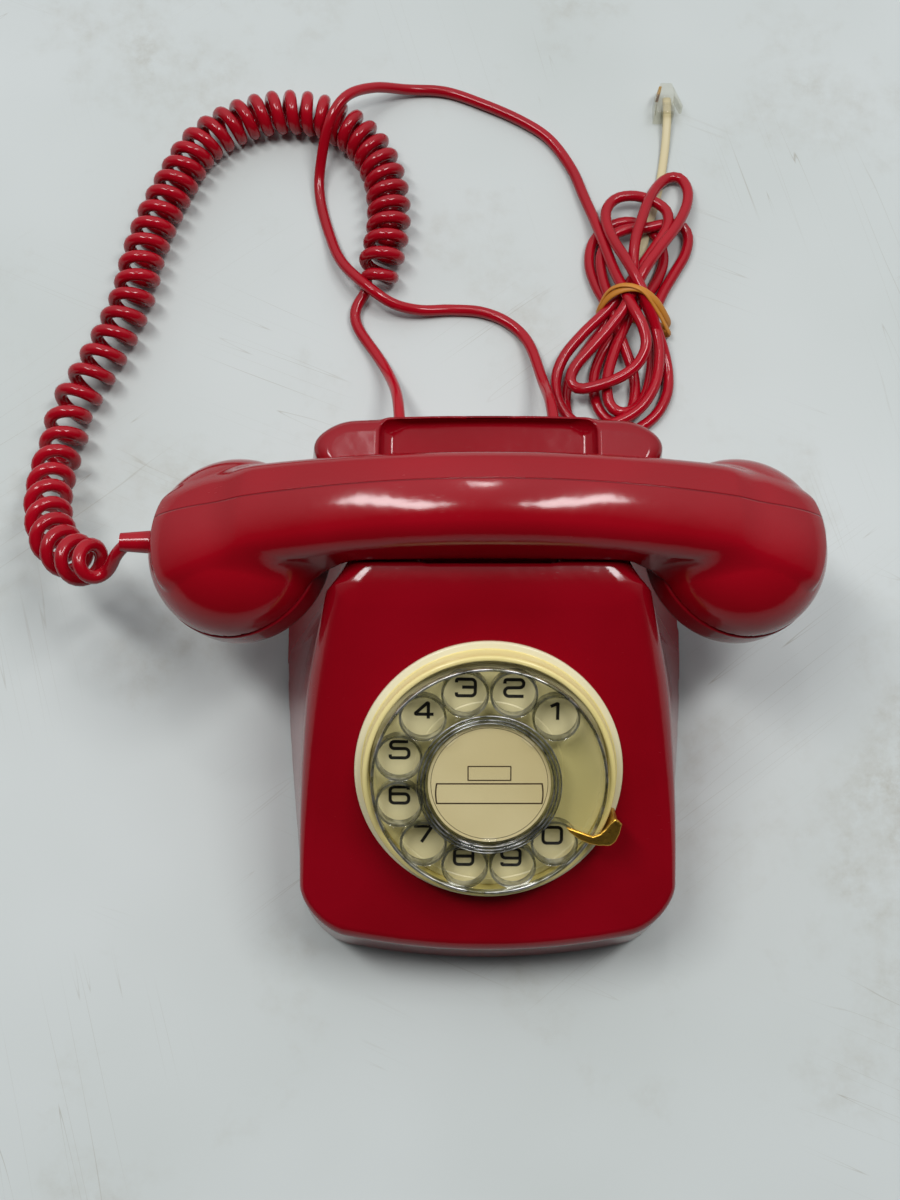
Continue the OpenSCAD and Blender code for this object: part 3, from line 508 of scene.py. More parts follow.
def parting_line(tree, place, shader, base, bump):
    """Hair-fine line along the back of the handset where the halves of its mould met."""
    y = add(tree, "SeparateXYZ", {0: place}).outputs["Y"]
    away = add(tree, "Math", {0: y, 1: (SEAT_Y + 3.2) * MM}, operation="SUBTRACT")
    away = add(tree, "Math", {0: away}, operation="ABSOLUTE")
    line = add(tree, "MapRange", {"Value": away, "From Min": 0.12 * MM, "From Max": 0.4 * MM,
                                  "To Min": 1.0, "To Max": 0.0})
    shade = add(tree, "Math", {0: line, 1: 0.55}, operation="MULTIPLY")
    lined = add(tree, "Mix", {0: shade, 6: base, 7: linear("#4A0008")}, data_type="RGBA").outputs[2]
    depth = add(tree, "Math", {0: line, 1: -1.0}, operation="MULTIPLY")
    groove = add(tree, "Bump", {"Height": depth, "Strength": 0.6, "Distance": 0.0002, "Normal": bump})
    tree.links.new(lined, shader.inputs["Base Color"])
    tree.links.new(groove.outputs[0], shader.inputs["Normal"])


# Moulded in polished tools: a deep, wet-looking gloss that mirrors the lamps, broken by scuffs.
# Case and handset are one red plastic in two copies: the handset's red is painted lighter for the light on its top,
# and the case's red is painted darker for the shade on its sloping face.
red_abs_shaded_copy = plastic("Red ABS, glossy, lightly scuffed", "#8B0415", "#820311", rough=0.13)
handset_red_lit_copy = plastic("Red ABS, glossy, with its parting line", "#930516", "#8A0412", rough=0.13, extra=parting_line)
# Soft extruded and moulded PVC: the cable shines along its turns, the sleeves are duller.
boot_red = plastic("Dark red PVC strain relief", "#6A0612", "#5A0410", rough=0.35)
cord_red = plastic("Red flexible PVC", "#A2061A", "#930516", rough=0.15, wear=0.3)
lead_pvc = plastic("Beige flexible PVC", "#CFC49F", "#C4B78F", rough=0.4)
# Aged cream mouldings: half glossy, yellower where light fell on them, satin where the print lies.
cream_abs = plastic("Cream ABS, aged", "#E3DCBC", "#D9CFA8", rough=0.24)
rim_abs = plastic("Cream ABS, yellowed by light", "#E6D796", "#DAC981", rough=0.2)
plate_abs = plastic("Olive cream ABS, satin", "#DCD2A4", "#D0C698", rough=0.35)
# Print and paper: flat, with hardly a highlight.
ink = plastic("Black printing ink", "#16150F", "#1D1B14", rough=0.4)
card_paper = plastic("Cream card, aged", "#E9DFBD", "#DCD0A9", rough=0.75, grain=0.0002)
card_ink = plastic("Brown printing ink", "#43352A", "#544332", rough=0.7)
# Clear mouldings: nearly unseen face on, with bright spots and greyish edges; the grey of the edges is painted shade.
clear_acrylic = clear_sheet("Clear acrylic, slightly aged", "#F2F1E0")
# Its grey tint is painted shade: the clear hole walls, the wheel's rim bead and the hub's ribs are darkened as
# refraction darkens them.
edge_acrylic_painted_shade = clear_sheet("Clear acrylic, polished edges", "#9A9C90", 0.3, 0.08, 0.6)
cover_acrylic = clear_sheet("Clear acrylic cover", "#F7F4E8")
smoke_acrylic = clear_sheet("Grey clear acrylic", "#C9CBBE", 0.1, 0.1)
plug_clear = clear_sheet("Clear polycarbonate plug", "#EFEDE2", 0.06, 0.08)
# Metals: satin where drawn, brighter where plated.
gold = metal("Gold anodised spring steel", "#E2B04A", 0.33, (1.0, 1.0, 8.0))
zinc = metal("Zinc-plated steel", "#A9ADB0", 0.32)
brass_metal = metal("Brass", "#C39A46", 0.3)
gong_metal = metal("Nickel-plated gong steel", "#B9B6AC", 0.2)
plug_gold = metal("Gold-plated contacts", "#D8A63A", 0.2)
# Working parts inside: plain and matt, as nothing polishes them.
nylon = plastic("White nylon", "#DAD5C6", "#CFC9B8", rough=0.42)
laminate = plastic("Brown paper laminate", "#7D5630", "#6B4826", rough=0.5)
winding = plastic("Enamelled copper winding", "#7C3E1F", "#5E2C15", rough=0.34, grain=0.002)
black_abs = plastic("Black ABS", "#191919", "#222222", rough=0.4)
foot_rubber = plastic("Black rubber foot", "#1D1D1C", "#262624", rough=0.8)
band_rubber = plastic("Amber rubber band", "#BF7D2A", "#AC6D23", rough=0.45, grain=0.001)

# ---------------------------------------------------------------- case


def half_width(y, z):
    """Half width of the case at y behind the front edge and height z."""
    foot = lerp(FOOT_FRONT_W, FOOT_REAR_W, np.sin(math.pi / 2 * np.clip(y / BODY_D, 0, 1))) / 2
    face = FACE_LOW_W / 2 - (FACE_LOW_W - FACE_TOP_W) / 2 * np.clip(y / FACE_L, 0, 1) ** 2.6
    waist = WAIST_W / 2
    ahead = waist + (FACE_TOP_W / 2 - waist) * ((SEAT - y) / (SEAT - FACE_L)) ** 2
    behind = waist + FLARE * smooth((y - SEAT) / FLARE_RUN)
    top = np.where(y < FACE_L, face, np.where(y < SEAT, ahead, behind))
    top_z = np.minimum(DECK_H, EDGE_H + np.maximum(y, 0) * math.tan(SLOPE))
    s = np.clip(1 - z / top_z, 0, 1)
    return top + np.maximum(0, foot - top) * s ** lerp(1.15, 2.5, smooth((y - 80) / 54))


def cradle(x, y, z):
    """The trough, the finger channel under the grip and the carrying recess behind it."""
    across = np.abs(y - SEAT) - TROUGH_D / 2
    trough = both(across, TROUGH_Z - z, 3.0)
    channel = both(both(across, CHANNEL_Z - z, 5.0), np.abs(x) - CHANNEL_W / 2, 3.0)
    floor_z = RECESS_Z + RECESS_RISE * (y - RECESS_EDGE)
    plan = both(np.abs(x) - RECESS_W / 2, y - RECESS_EDGE + END_BOW * (x / (FOOT_REAR_W / 2)) ** 2, 3.5)
    scoop = both(np.maximum(plan, SEAT + TROUGH_D / 2 - 4 - y), floor_z - z,
                 lerp(1.5, 5.0, smooth((np.abs(x) - 26) / 8)))
    return either(either(trough, channel, 1.5), scoop, 1.5)


def case_field(x, y, z):
    """The case: a hollow moulding, open below, with its cradle, dial opening, plunger bores and cord openings."""
    y = y - FRONT_Y
    side = np.abs(x) - half_width(y, z)
    front = 4.5 * (x / (FOOT_FRONT_W / 2 - 16)) ** 2 - y
    rear = y - (BODY_D - REAR_LEAN * z / DECK_H - END_BOW * (x / (FOOT_REAR_W / 2)) ** 2)
    face = (z - EDGE_H) * C - y * S
    walls = both(both(side, front, lerp(16.0, 7.0, smooth((z - EDGE_H) / 25))), rear, 17.0)
    lid = both(face, z - DECK_H, 4.5)
    edge_r = lerp(lerp(3.0, 12.0, smooth((y - 12) / 85)), 5.0, smooth((y - 116) / 18))
    thin_rim = smooth((38 - np.abs(x)) / 5) * smooth((y - 155) / 8)
    form = without(both(walls, lid, lerp(edge_r, 0.7, thin_rim)), cradle(x, y, z), lerp(1.2, 0.5, thin_rim))
    shell = both(form, -(form + WALL), 0.3)
    shell = both(shell, RIM_H - z, 0.4)
    u, v, w = to_dial(x, y + FRONT_Y, z)
    hole = np.maximum(np.hypot(u, v) - DIAL_BORE_R, np.abs(w) - 15)
    shell = without(shell, hole, 0.4)
    for side_x in (-PLUNGER_X, PLUNGER_X):
        bore = np.maximum(np.hypot(x - side_x, y - SEAT) - BORE_R, TROUGH_Z - 20 - z)
        shell = without(shell, bore, 0.4)
    for exit_x in (EXIT_LEFT, EXIT_RIGHT):
        bore = np.maximum(np.hypot(x - exit_x, z - EXIT_Z) - BORE_R, BODY_D - 25 - y)
        shell = without(shell, bore, 0.3)
    return shell


add_object("case_moulding", formed(case_field, case_lo, case_hi, 1.0), red_abs_shaded_copy, "telephone", ("case",))

# ---------------------------------------------------------------- handset

HANDSET_L = 232.0
CAP_R = 63.6 / 2
CAP_H = 20.0
TILT = math.radians(18)
MOUTH_R = CAP_R - 0.7
DOME_H = 24.5
CAP_X = HANDSET_L / 2 - CAP_R * math.cos(TILT)
CAP_AHEAD = 4.6      # the caps' centres lie this far ahead of the grip's middle line
CAP_Y = SEAT_Y - CAP_AHEAD
CAPSULE_R = 23.5
GRIP_Z = TROUGH_Z + 0.3
BACK_Z = GRIP_Z + 28
MOUTH_Z = GRIP_Z - 20.2
NECK_X = CAP_X - MOUTH_R * math.cos(TILT)
GRIP_HALF, GRIP_SWELL = 16.0, 1.8
ARCH, CROWN = 19.0, 5.0     # how far the back falls along the grip, and across it
CAP_WALL, CAP_INNER_R, SKIRT_H = 2.6, CAP_R - 5.0, 7.0


def to_mouth(x, y, z):
    """Place in the tilted frame of the nearer cap: along the handset outwards, across, and up from the seam."""
    dx, dz = np.abs(x) - CAP_X, z - MOUTH_Z
    return dx * math.cos(TILT) - dz * math.sin(TILT), y - CAP_Y, dx * math.sin(TILT) + dz * math.cos(TILT)


def bulge(out, across, up, r, h):
    """Signed reach from a dome of radius r and height h, slightly fuller than an ellipse."""
    k = 2.15
    base = (np.hypot(out, across) / r) ** k + (np.abs(up) / h) ** k
    return (base ** (1 / k) - 1) * h


def handset_field(x, y, z):
    """The handset's shell: an arched grip that drops into a domed cup at each end."""
    ax = np.abs(x)
    t = ax / CAP_X
    out, across, up = to_mouth(x, y, z)
    middle = SEAT_Y - CAP_AHEAD * smooth((ax - CAP_X + 10) / 34)
    half = GRIP_HALF + GRIP_SWELL * t ** 2
    sideways = np.abs(y - middle) - half
    back = BACK_Z - ARCH * t ** 2 - CROWN * (np.abs(y - middle) / half) ** 2.3
    over = (z - back) / np.sqrt(1 + (2 * ARCH * ax / CAP_X ** 2) ** 2)
    drop = smooth((ax - NECK_X + 13) / 16)
    under = GRIP_Z - (GRIP_Z - MOUTH_Z - (CAP_X - NECK_X) * math.tan(TILT) + 3) * drop - z
    grip = both(both(sideways, over, 6.0), under, 4.6)
    end = bulge(np.maximum(out, 0), across * 0.9, np.maximum(up, 0), MOUTH_R, 27.5) - 0.03 * np.maximum(-out, 0) ** 2
    grip = both(grip, end, 5.0)
    dome = bulge(out, across, np.maximum(up, 0), MOUTH_R, DOME_H)
    body = either(grip, dome, lerp(5.0, 1.5, smooth((ax - 70) / 25)))
    lower = np.maximum(up, np.hypot(out, across) - CAP_R - 8)
    body = without(body, lower, 0.7)
    pocket = both(np.hypot(out, across) - CAPSULE_R, up - 7.5, 1.0)
    return without(body, pocket, 0.3)


def cap_field(holes):
    """Cap in its own frame: x, y across, z up to the seam."""
    def field(x, y, z):
        r = np.hypot(x, y)
        skirt = r - CAP_R + 0.05 * np.maximum(-z - 4, 0) ** 1.2
        bow = bulge(x, y, np.minimum(z + SKIRT_H, 0), CAP_R - 0.2, CAP_H - SKIRT_H)
        form = both(both(skirt, bow, 0.5), z + 0.15, 0.8)
        hollow = both(np.maximum(r - CAP_INNER_R, -z - SKIRT_H), bow + CAP_WALL, 0.5)
        inner = both(r - CAP_INNER_R, bow + CAP_WALL, 1.0)
        form = without(form, np.minimum(inner, hollow), 0.3)
        for hx, hy in holes:
            bore = np.maximum(np.hypot(x - hx, y - hy) - 1.3, z + 4)
            form = without(form, bore, 0.35)
        return form
    return field


def ring_of(count, radius):
    """Places set evenly round a circle, the first of them to the right."""
    return [(radius * math.cos(TAU * i / count), radius * math.sin(TAU * i / count)) for i in range(count)]


def from_mouth(mesh, side):
    """Moves a cap's mesh, made round its own seam, to its place on the handset."""
    place = Matrix.Translation((side * CAP_X * MM, CAP_Y * MM, MOUTH_Z * MM))
    mesh.transform(place @ Matrix.Rotation(side * TILT, 4, "Y"))
    return mesh


handset_lo = (-HANDSET_L / 2 - 1, CAP_Y - 33, MOUTH_Z - 14)
handset_hi = (HANDSET_L / 2 + 1, CAP_Y + 33, BACK_Z + 1)
add_object("handset_moulding", formed(handset_field, handset_lo, handset_hi, 1.0), handset_red_lit_copy, "handset",
           ("handset_shell",))

CAPS = {
    "earpiece": (1, [(0, 0)] + ring_of(6, 6) + ring_of(12, 12)),
    "mouthpiece": (-1, [(0, 0)] + ring_of(6, 8)),
}
for cap_name, (cap_side, cap_holes) in CAPS.items():
    cap_mesh = formed(cap_field(cap_holes), (-CAP_R - 1, -CAP_R - 1, -CAP_H - 1), (CAP_R + 1, CAP_R + 1, 1),
                      0.7, 90000)
    add_object(cap_name + "_screw_cap", from_mouth(cap_mesh, cap_side), red_abs_shaded_copy, "handset",
               (cap_name + "_cap",))

# ---------------------------------------------------------------- cords


def placed(points):
    """Places given from the telephone's front edge, moved into the CAD's frame."""
    return [(x, y + FRONT_Y, z) for x, y, z in points]


LYING = CORD / 2 + 0.1
CURL_LYING = CURL / 2 + 0.1
boot_lo, boot_hi = [np.array(p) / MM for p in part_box("handset_boot")]
BOOT_X, BOOT_Y, BOOT_Z = boot_lo[0], (boot_lo[1] + boot_hi[1]) / 2, (boot_lo[2] + boot_hi[2]) / 2
EXIT_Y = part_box("cord_boot_left")[1][1] / MM

curl_route = placed([
    (BOOT_X + 3, BOOT_Y - FRONT_Y, BOOT_Z), (BOOT_X - 2.5, 134, BOOT_Z - 1), (-130, 129, 67.5),
    (-138.5, 131, 62), (-147, 135.5, 55), (-155.5, 143.5, 46.5), (-161, 154, 37.5), (-164.5, 166, 28.5),
    (-166, 177, 20.5), (-166, 188.5, 14), (-164.5, 199.5, 10.2), (-163, 212, CURL_LYING),
    (-155, 228, CURL_LYING), (-147, 245, CURL_LYING), (-141, 262, CURL_LYING), (-138, 279, CURL_LYING),
    (-133, 296, CURL_LYING), (-126, 313, CURL_LYING), (-117, 330, CURL_LYING), (-103, 341, CURL_LYING),
    (-88, 346, CURL_LYING), (-73, 346, CURL_LYING), (-59, 341, CURL_LYING), (-47, 330, CURL_LYING),
    (-40, 315, CURL_LYING), (-38, 298, CURL_LYING), (-39.5, 284, CURL_LYING), (-43, 271, 8), (-48, 264.5, 4.5),
    (-53, 260.5, LYING), (-54, 254.5, LYING), (-49.5, 248.5, LYING), (-42, 238, 3.5), (-36, 224, 11),
    (-33, 211, 23), (EXIT_LEFT, EXIT_Y - FRONT_Y - 3, EXIT_Z)])
# Pitch of the coil at distances along it: pulled open where it hangs, nearly closed on the far side, and
# opened at both ends, where the coil runs out into straight cable.
PITCH_AT = [0, 10, 30, 55, 85, 120, 170, 230, 300, 350, 400]
PITCH = [8.8, 9.5, 11, 12.5, 12, 10, 8.6, 7.2, 6.6, 7.0, 8.6]
OPEN_PITCH = 17.0
RUN_OUT = 12.0
SOFTENING = 40


def coiled(route, first, last, steps_per_turn):
    """Line that winds round a route between two places on it, and runs straight before and after them."""
    base = line_through(route, 1.0)
    start, end = [int(np.argmin(np.linalg.norm(base - p, axis=1))) for p in placed([first, last])]
    fine = np.linspace(start, end, 3000)
    wound = smooth((fine - start) / RUN_OUT) * smooth((end - fine) / RUN_OUT)
    pitch = lerp(OPEN_PITCH, np.interp(fine - start, PITCH_AT, PITCH), wound)
    turns_to = np.concatenate([[0], np.cumsum(np.diff(fine) / pitch[1:])])
    inner = np.interp(np.linspace(0, turns_to[-1], int(turns_to[-1] * steps_per_turn)), turns_to, fine)
    places = np.concatenate([np.linspace(0, start, 10)[:-1], inner, np.linspace(end, len(base) - 1, 50)[1:]])
    run = np.arange(len(base))
    centre = np.stack([np.interp(places, run, base[:, k]) for k in range(3)], axis=1)
    along = np.stack([np.interp(places, run, np.gradient(base[:, k])) for k in range(3)], axis=1)
    along /= np.linalg.norm(along, axis=1)[:, None]
    side = np.cross(along[0], [0, 0, 1])
    amount = (CURL - CABLE) / 2 * smooth((places - start + 1) / RUN_OUT) * smooth((end - places) / RUN_OUT)
    angle = TAU * np.interp(places, fine, turns_to)
    out = []
    for i in range(len(places)):
        side = side - along[i] * side.dot(along[i])
        side /= np.linalg.norm(side)
        up = np.cross(along[i], side)
        out.append(centre[i] + amount[i] * (math.cos(angle[i]) * side + math.sin(angle[i]) * up))
    out = np.array(out)
    # The first and last turns are evened out, so that the cable leaves its coil without a kink.
    loose = np.maximum(1 - smooth((places - start - 2) / 8), 1 - smooth((end - places - 4) / 10))[1:-1, None]
    for _ in range(SOFTENING):
        out[1:-1] += loose * (out[:-2] - 2 * out[1:-1] + out[2:]) / 4
    thick = lerp(CORD, CABLE, smooth((places - start + 4) / 10) * smooth((end - places) / RUN_OUT)) / 2
    out[:, 2] = np.maximum(out[:, 2], thick + 0.1)
    return out, thick


curl_line, curl_thick = coiled(curl_route, (-130, 129, 67.5), (-49, 264, 4.2), 22)
curl = add_object("curly_handset_cord", make_mesh(*sweep(curl_line, curl_thick, 12)), cord_red, None,
                  ("curly_cord", "curly_tail"))
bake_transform(curl)

# The line cord runs from the rear wall over the curly cord to the hank, which is the same cable in figure loops.

line_route = placed([
    (EXIT_RIGHT, EXIT_Y - FRONT_Y - 3, EXIT_Z), (26, 209, 24), (24, 222, 13), (19, 243, 4), (11, 253, LYING),
    (0, 258, LYING), (-13, 259, LYING), (-25, 258, 4), (-36, 259, 8), (-46, 265, 11), (-57, 278, 7),
    (-63, 294, LYING), (-67, 310, LYING), (-67, 322, 6), (-63, 336, 17), (-56, 347, 20), (-45, 356, 13),
    (-31, 361, 4), (-15, 361, LYING), (1, 355, LYING), (17, 347, LYING), (29, 338, LYING), (38, 324, LYING),
    (43, 310, 3.2)])
hank_route = placed([
    (47, 298, 5), (50, 286, 8.5), (53.5, 273, 11), (57, 262, 14), (60.5, 253, 15.5), (64, 245, 15.5),
    (65, 237, 14.5), (61.5, 230, 13), (55, 225, 12), (46, 221.5, 11.5), (38.5, 220, 11.5), (35, 223, 11.5),
    (36.5, 229, 11.5), (43, 237, 11.5), (50, 245, 12), (56, 253, 13), (61, 262, 14.5), (66.5, 272, 15.5),
    (73, 282, 14), (79.5, 292, 11), (84.5, 303, 7), (86, 312, 4.5), (83.5, 318.5, 3.5), (78.5, 319, 3.5),
    (73.5, 314, 5.5), (69, 305, 10), (65.5, 295, 12.5), (62.5, 285, 13), (61.5, 275, 12), (63, 266, 10.5),
    (66.5, 257, 10), (70, 247, 8.5), (71, 236, 7.5), (69, 224, 7), (63, 214, 7), (54, 208, 7), (45, 206, 7),
    (36, 208, 7), (30.5, 216, 7), (29.5, 226, 7), (33, 236, 7.5), (41, 246, 8), (49, 254, 8.5), (55, 261, 9),
    (61, 269, 9.2), (67, 278, 9.5), (73, 287, 9.5), (76.5, 294, 9), (76, 301, 8.5), (70, 306, 8),
    (62.5, 308, 8), (55.5, 306.5, 8), (51.5, 301, 8.5), (51.5, 293, 10), (54, 284, 13), (58, 275, 15.5),
    (62, 266, 16.5), (66, 257, 14.5), (70, 248, 9), (73.5, 239, 4.5), (75, 230, 2.6), (74, 221, 2.5),
    (69, 212, 2.5), (60, 205.5, 2.5), (50, 202.5, 2.5), (40, 205, 2.5), (34, 213, 2.5), (34, 224, 2.5),
    (38, 234, 2.6), (44, 243, 3.2), (49.5, 251, 4), (50.5, 260, 4.4), (47, 269, 3.2), (44.5, 279, 2.5),
    (46, 289, 2.5), (52, 296, 2.5), (60, 299, 2.5), (67.5, 297, 2.5), (73, 291, 2.5), (75, 282, 2.5),
    (72.5, 273, 3), (67, 264, 3.5), (60, 256, 3.4), (53.5, 247, 2.6), (48, 238, 2.5), (45, 228, 2.5),
    (46, 217, 2.5), (51, 210, 2.5), (57.5, 211, 2.5), (61, 219, 2.5), (61, 230, 3), (57.5, 241, 5),
    (54, 251, 6.5), (52, 261, 7), (49.5, 271, 6.5), (49, 281, 6), (53, 290, 5.5), (60, 293.5, 6),
    (68, 294, 6.5), (76, 296, 6), (82.5, 296.5, 4), (85.5, 292, 2.8), (84, 284, 2.5), (79, 275, 2.5),
    (74, 266, 2.6), (70.5, 257, 2.6), (69, 246, 2.5), (68.5, 234, 2.5), (66, 222, 2.7), (61, 214.5, 4.6),
    (55, 212, 6.6), (50.5, 216, 6.8), (50, 226, 6.8), (53, 238, 6.8), (57.5, 249, 6.8), (62, 259, 5.5),
    (64, 268, 2.8)])
line_points = line_through(line_route + hank_route, 2.4)
line = add_object("line_cord_and_hank", make_mesh(*sweep(line_points, CORD / 2, 12)), cord_red, "telephone",
                  ("line_cord", "cord_hank"))

# The end of the red cord is joined to a flat lead in a sleeve, and the lead ends in a modular plug on its side.
sleeve_points = line_through(placed([(63.8, 264, 2.6), (64, 270, 2.6), (64.4, 275, 2.5), (65, 279, 2.4)]), 1.0)
sleeve_radii = [2.3, 2.6] + [2.75] * (len(sleeve_points) - 4) + [2.5, 2.0]
sleeve = add_object("lead_joint_sleeve", make_mesh(*sweep(sleeve_points, sleeve_radii, 20)), lead_pvc, "telephone")

LEAD_W, LEAD_FLAT = 3.6, 0.62
lead_points = line_through(placed([
    (64.8, 277, 2.4), (66.5, 286, 1.6), (69, 296, 1.4), (72, 306, 1.4), (74.8, 317, 1.4), (76.8, 328, 1.5),
    (78, 337, 2.4), (78.6, 345, 4.2), (78.8, 350, 4.7), (78.8, 356, 4.8)]), 2.4)
lead = add_object("flat_lead_strip", make_mesh(*sweep(lead_points, LEAD_W / 2, 16, LEAD_FLAT)), lead_pvc, "telephone",
                  ("flat_lead",))


def outline_field(points):
    """Signed distance in a plane from a closed outline, below zero inside."""
    p = np.asarray(points, float)

    def field(x, y):
        best = None
        inside = None
        for i in range(len(p)):
            a, b = p[i - 1], p[i]
            ex, ey = b - a
            wx, wy = x - a[0], y - a[1]
            t = np.clip((wx * ex + wy * ey) / (ex * ex + ey * ey), 0, 1)
            d = np.hypot(wx - ex * t, wy - ey * t)
            cross = ((a[1] > y) != (b[1] > y)) & (x < ex * (y - a[1]) / (ey if ey else 1e-9) + a[0])
            best = d if best is None else np.minimum(best, d)
            inside = cross if inside is None else inside ^ cross
        return np.where(inside, -best, best)
    return field


plug_side = outline_field([(73, 346.6), (73, 353.8), (74.2, 356.5), (76, 360.6), (80.6, 360.6), (81.6, 357.7),
                           (81.2, 346.6)])
plug_spring = outline_field([(80.2, 359.8), (81.7, 359.6), (85.2, 350.6), (84.2, 350.3), (81, 357.6), (80.2, 358)])
BLADES_Z = (2.0, 3.7, 5.4, 7.1)


def plug_field(x, y, z):
    """The modular plug, lying on its side: hollow at the back, slotted for its blades, with its spring latch."""
    y = y - FRONT_Y
    body = both(plug_side(x, y), np.abs(z - 4.9) - 4.7, 0.4)
    mouth = both(both(np.abs(x - 78.6) - 2.1, np.abs(z - 4.7) - 3.1, 0.5), np.abs(y - 347) - 5.5, 0.4)
    body = without(body, mouth, 0.3)
    for z0 in BLADES_Z:
        slot = np.maximum(np.maximum(np.abs(z - z0 - 0.35) - 0.35, x - 75.4), 356 - y)
        body = without(body, slot, 0.1)
    step = both(both(73.9 - x, x - 76.2, 0.3), np.abs(y - 350.5) - 1.3, 0.3)
    body = without(body, np.maximum(np.maximum(step, x - 74.2), np.abs(z - 4.9) - 3.2), 0.2)
    spring = both(plug_spring(x, y), np.abs(z - 4.9) - 2.9, 0.25)
    return either(body, spring, 0.4)


plug_mesh = formed(plug_field, (72.5, FRONT_Y + 346, 0.1), (86, FRONT_Y + 361.2, 9.8), 0.3)
plug = add_object("modular_plug_moulding", plug_mesh, plug_clear, "telephone", ("modular_plug",))
BLADE_SIDE = ((74.3, 356.4), (75.4, 356.2), (76.6, 360), (75.5, 360.2))
BOX_FACES = [(3, 2, 1, 0), (4, 5, 6, 7), (0, 1, 5, 4), (1, 2, 6, 5), (2, 3, 7, 6), (3, 0, 4, 7)]
blades_mesh = make_mesh(*joined([(placed([(x, y, z0 + dz) for dz in (0.05, 0.65) for x, y in BLADE_SIDE]), BOX_FACES)
                                 for z0 in BLADES_Z]))
blades = add_object("plug_contact_blades", shaded(blades_mesh, False), plug_gold, "telephone",
                    ("plug_contacts",))

# A rubber band goes twice round the crossing of the loops, its turns crossing on top.
band_points = line_through(placed([
    (58, 260, 0.9), (51, 257, 0.9), (47.5, 255.5, 2.5), (47.5, 256.5, 8), (51, 259, 14), (56.5, 260.5, 17.6),
    (63, 260, 18.6), (69.5, 257, 15), (74.5, 253, 8), (76, 251.5, 3), (73.5, 252.5, 0.9), (62, 256, 0.9),
    (52, 254, 0.9), (47.5, 255, 2.5), (47.5, 257.5, 8), (51, 261.5, 14.5), (57, 262, 18.4), (64, 259.5, 18.6),
    (70, 254, 13), (75, 248.5, 6), (76, 248, 3), (73.5, 249.5, 0.9), (66, 254, 0.9), (58, 257, 0.9)]), 1.0)
add_object("rubber_band_turns", make_mesh(*sweep(band_points, 1.5, 12, 0.42)), band_rubber, "telephone",
           ("rubber_band",))

# ---------------------------------------------------------------- dial

WHEEL_R = 39.0
WHEEL_Z = 11.0
WHEEL_T = 2.0
WHEEL_TOP = WHEEL_Z + WHEEL_T
HOLE_R = 7.05
HOLE_RING = 30.8
HOLE_ANGLES = [math.radians(45 + 30 * i) for i in range(10)]
BEZEL_R = 45.0
BOWL_R = WHEEL_R + 1
BOWL_Z = 2.2
PLATE_Z = BOWL_Z + 1.0
FLANGE = 2.4
RIM_TOP = 8.5
CARD_R = 20.5
HUB_R = 23.5
HUB_TOP = WHEEL_TOP + 2.4


def dial_part(name, shape, material, body, nodes=()):
    """Piece of the dial from a mesh, or from points and faces, made round the dial's centre."""
    mesh = shape if isinstance(shape, bpy.types.Mesh) else make_mesh(*shape)
    place = Matrix.Translation((0, FRONT_Y * MM, EDGE_H * MM)) @ Matrix.Rotation(SLOPE, 4, "X")
    mesh.transform(place @ Matrix.Translation((0, DIAL_UP * MM, 0)))
    return add_object(name, mesh, material, body, nodes)


def ribbon(points, width, low, high, closed=False):
    """Flat printed or moulded line of a given width along points in a plane, as a closed body."""
    p = np.asarray(points, float)
    n = len(p)
    before = np.roll(p, 1, axis=0)
    after = np.roll(p, -1, axis=0)
    if not closed:
        before[0] = 2 * p[0] - p[1]
        after[-1] = 2 * p[-1] - p[-2]
    a = (p - before) / np.linalg.norm(p - before, axis=1)[:, None]
    b = (after - p) / np.linalg.norm(after - p, axis=1)[:, None]
    t = a + b
    t /= np.linalg.norm(t, axis=1)[:, None]
    normal = np.stack([-t[:, 1], t[:, 0]], axis=1)
    reach = width / 2 / np.maximum((normal * np.stack([-a[:, 1], a[:, 0]], axis=1)).sum(axis=1), 0.4)[:, None]
    left, right = p + normal * reach, p - normal * reach
    points = [(x, y, z) for z in (low, high) for side in (left, right) for x, y in side]
    faces = []
    for i in range(n if closed else n - 1):
        j = (i + 1) % n
        faces += [(i, n + i, n + j, j)[::-1], (2 * n + i, 3 * n + i, 3 * n + j, 2 * n + j),
                  (j, i, 2 * n + i, 2 * n + j)[::-1], (n + i, n + j, 3 * n + j, 3 * n + i)[::-1]]
    if not closed:
        faces += [(0, n, 3 * n, 2 * n)[::-1], (n - 1, 2 * n - 1, 4 * n - 1, 3 * n - 1)]
    return points, faces


def moved(part, x, y, turn=0.0):
    """Points and faces turned about their origin and then moved."""
    points, faces = part
    c, s = math.cos(turn), math.sin(turn)
    return [(x + c * a - s * b, y + s * a + c * b, h) for a, b, h in points], faces


bezel_profile = rounded([
    (14, BOWL_Z - 1.4), (14, BOWL_Z - 0.02), (BOWL_R - 0.1, BOWL_Z - 0.02), (BOWL_R + 0.2, RIM_TOP),
    (BEZEL_R - FLANGE - 0.6, RIM_TOP), (BEZEL_R - FLANGE - 0.1, BOWL_Z - 0.3), (BEZEL_R, BOWL_Z - 0.7),
    (BEZEL_R, 0.0), (37.7, 0.0), (37.7, -1.5), (36.6, -1.5), (36.6, BOWL_Z - 1.4)],
    [0, 0, 0.8, 0.7, 1.1, 0.5, 0.8, 0.1, 0, 0, 0, 0], steps=6)
bezel = dial_part("dial_bezel_ring", revolve(bezel_profile, 192), cream_abs, "telephone",
                  ("dial_bezel",))
bezel.data.materials.append(rim_abs)
profile_r = [(a[0] + b[0]) / 2 for a, b in zip(bezel_profile, bezel_profile[1:] + bezel_profile[:1])]
for index, face in enumerate(bezel.data.polygons):
    if profile_r[index % len(bezel_profile)] < BEZEL_R - FLANGE + 0.45:
        face.material_index = 1

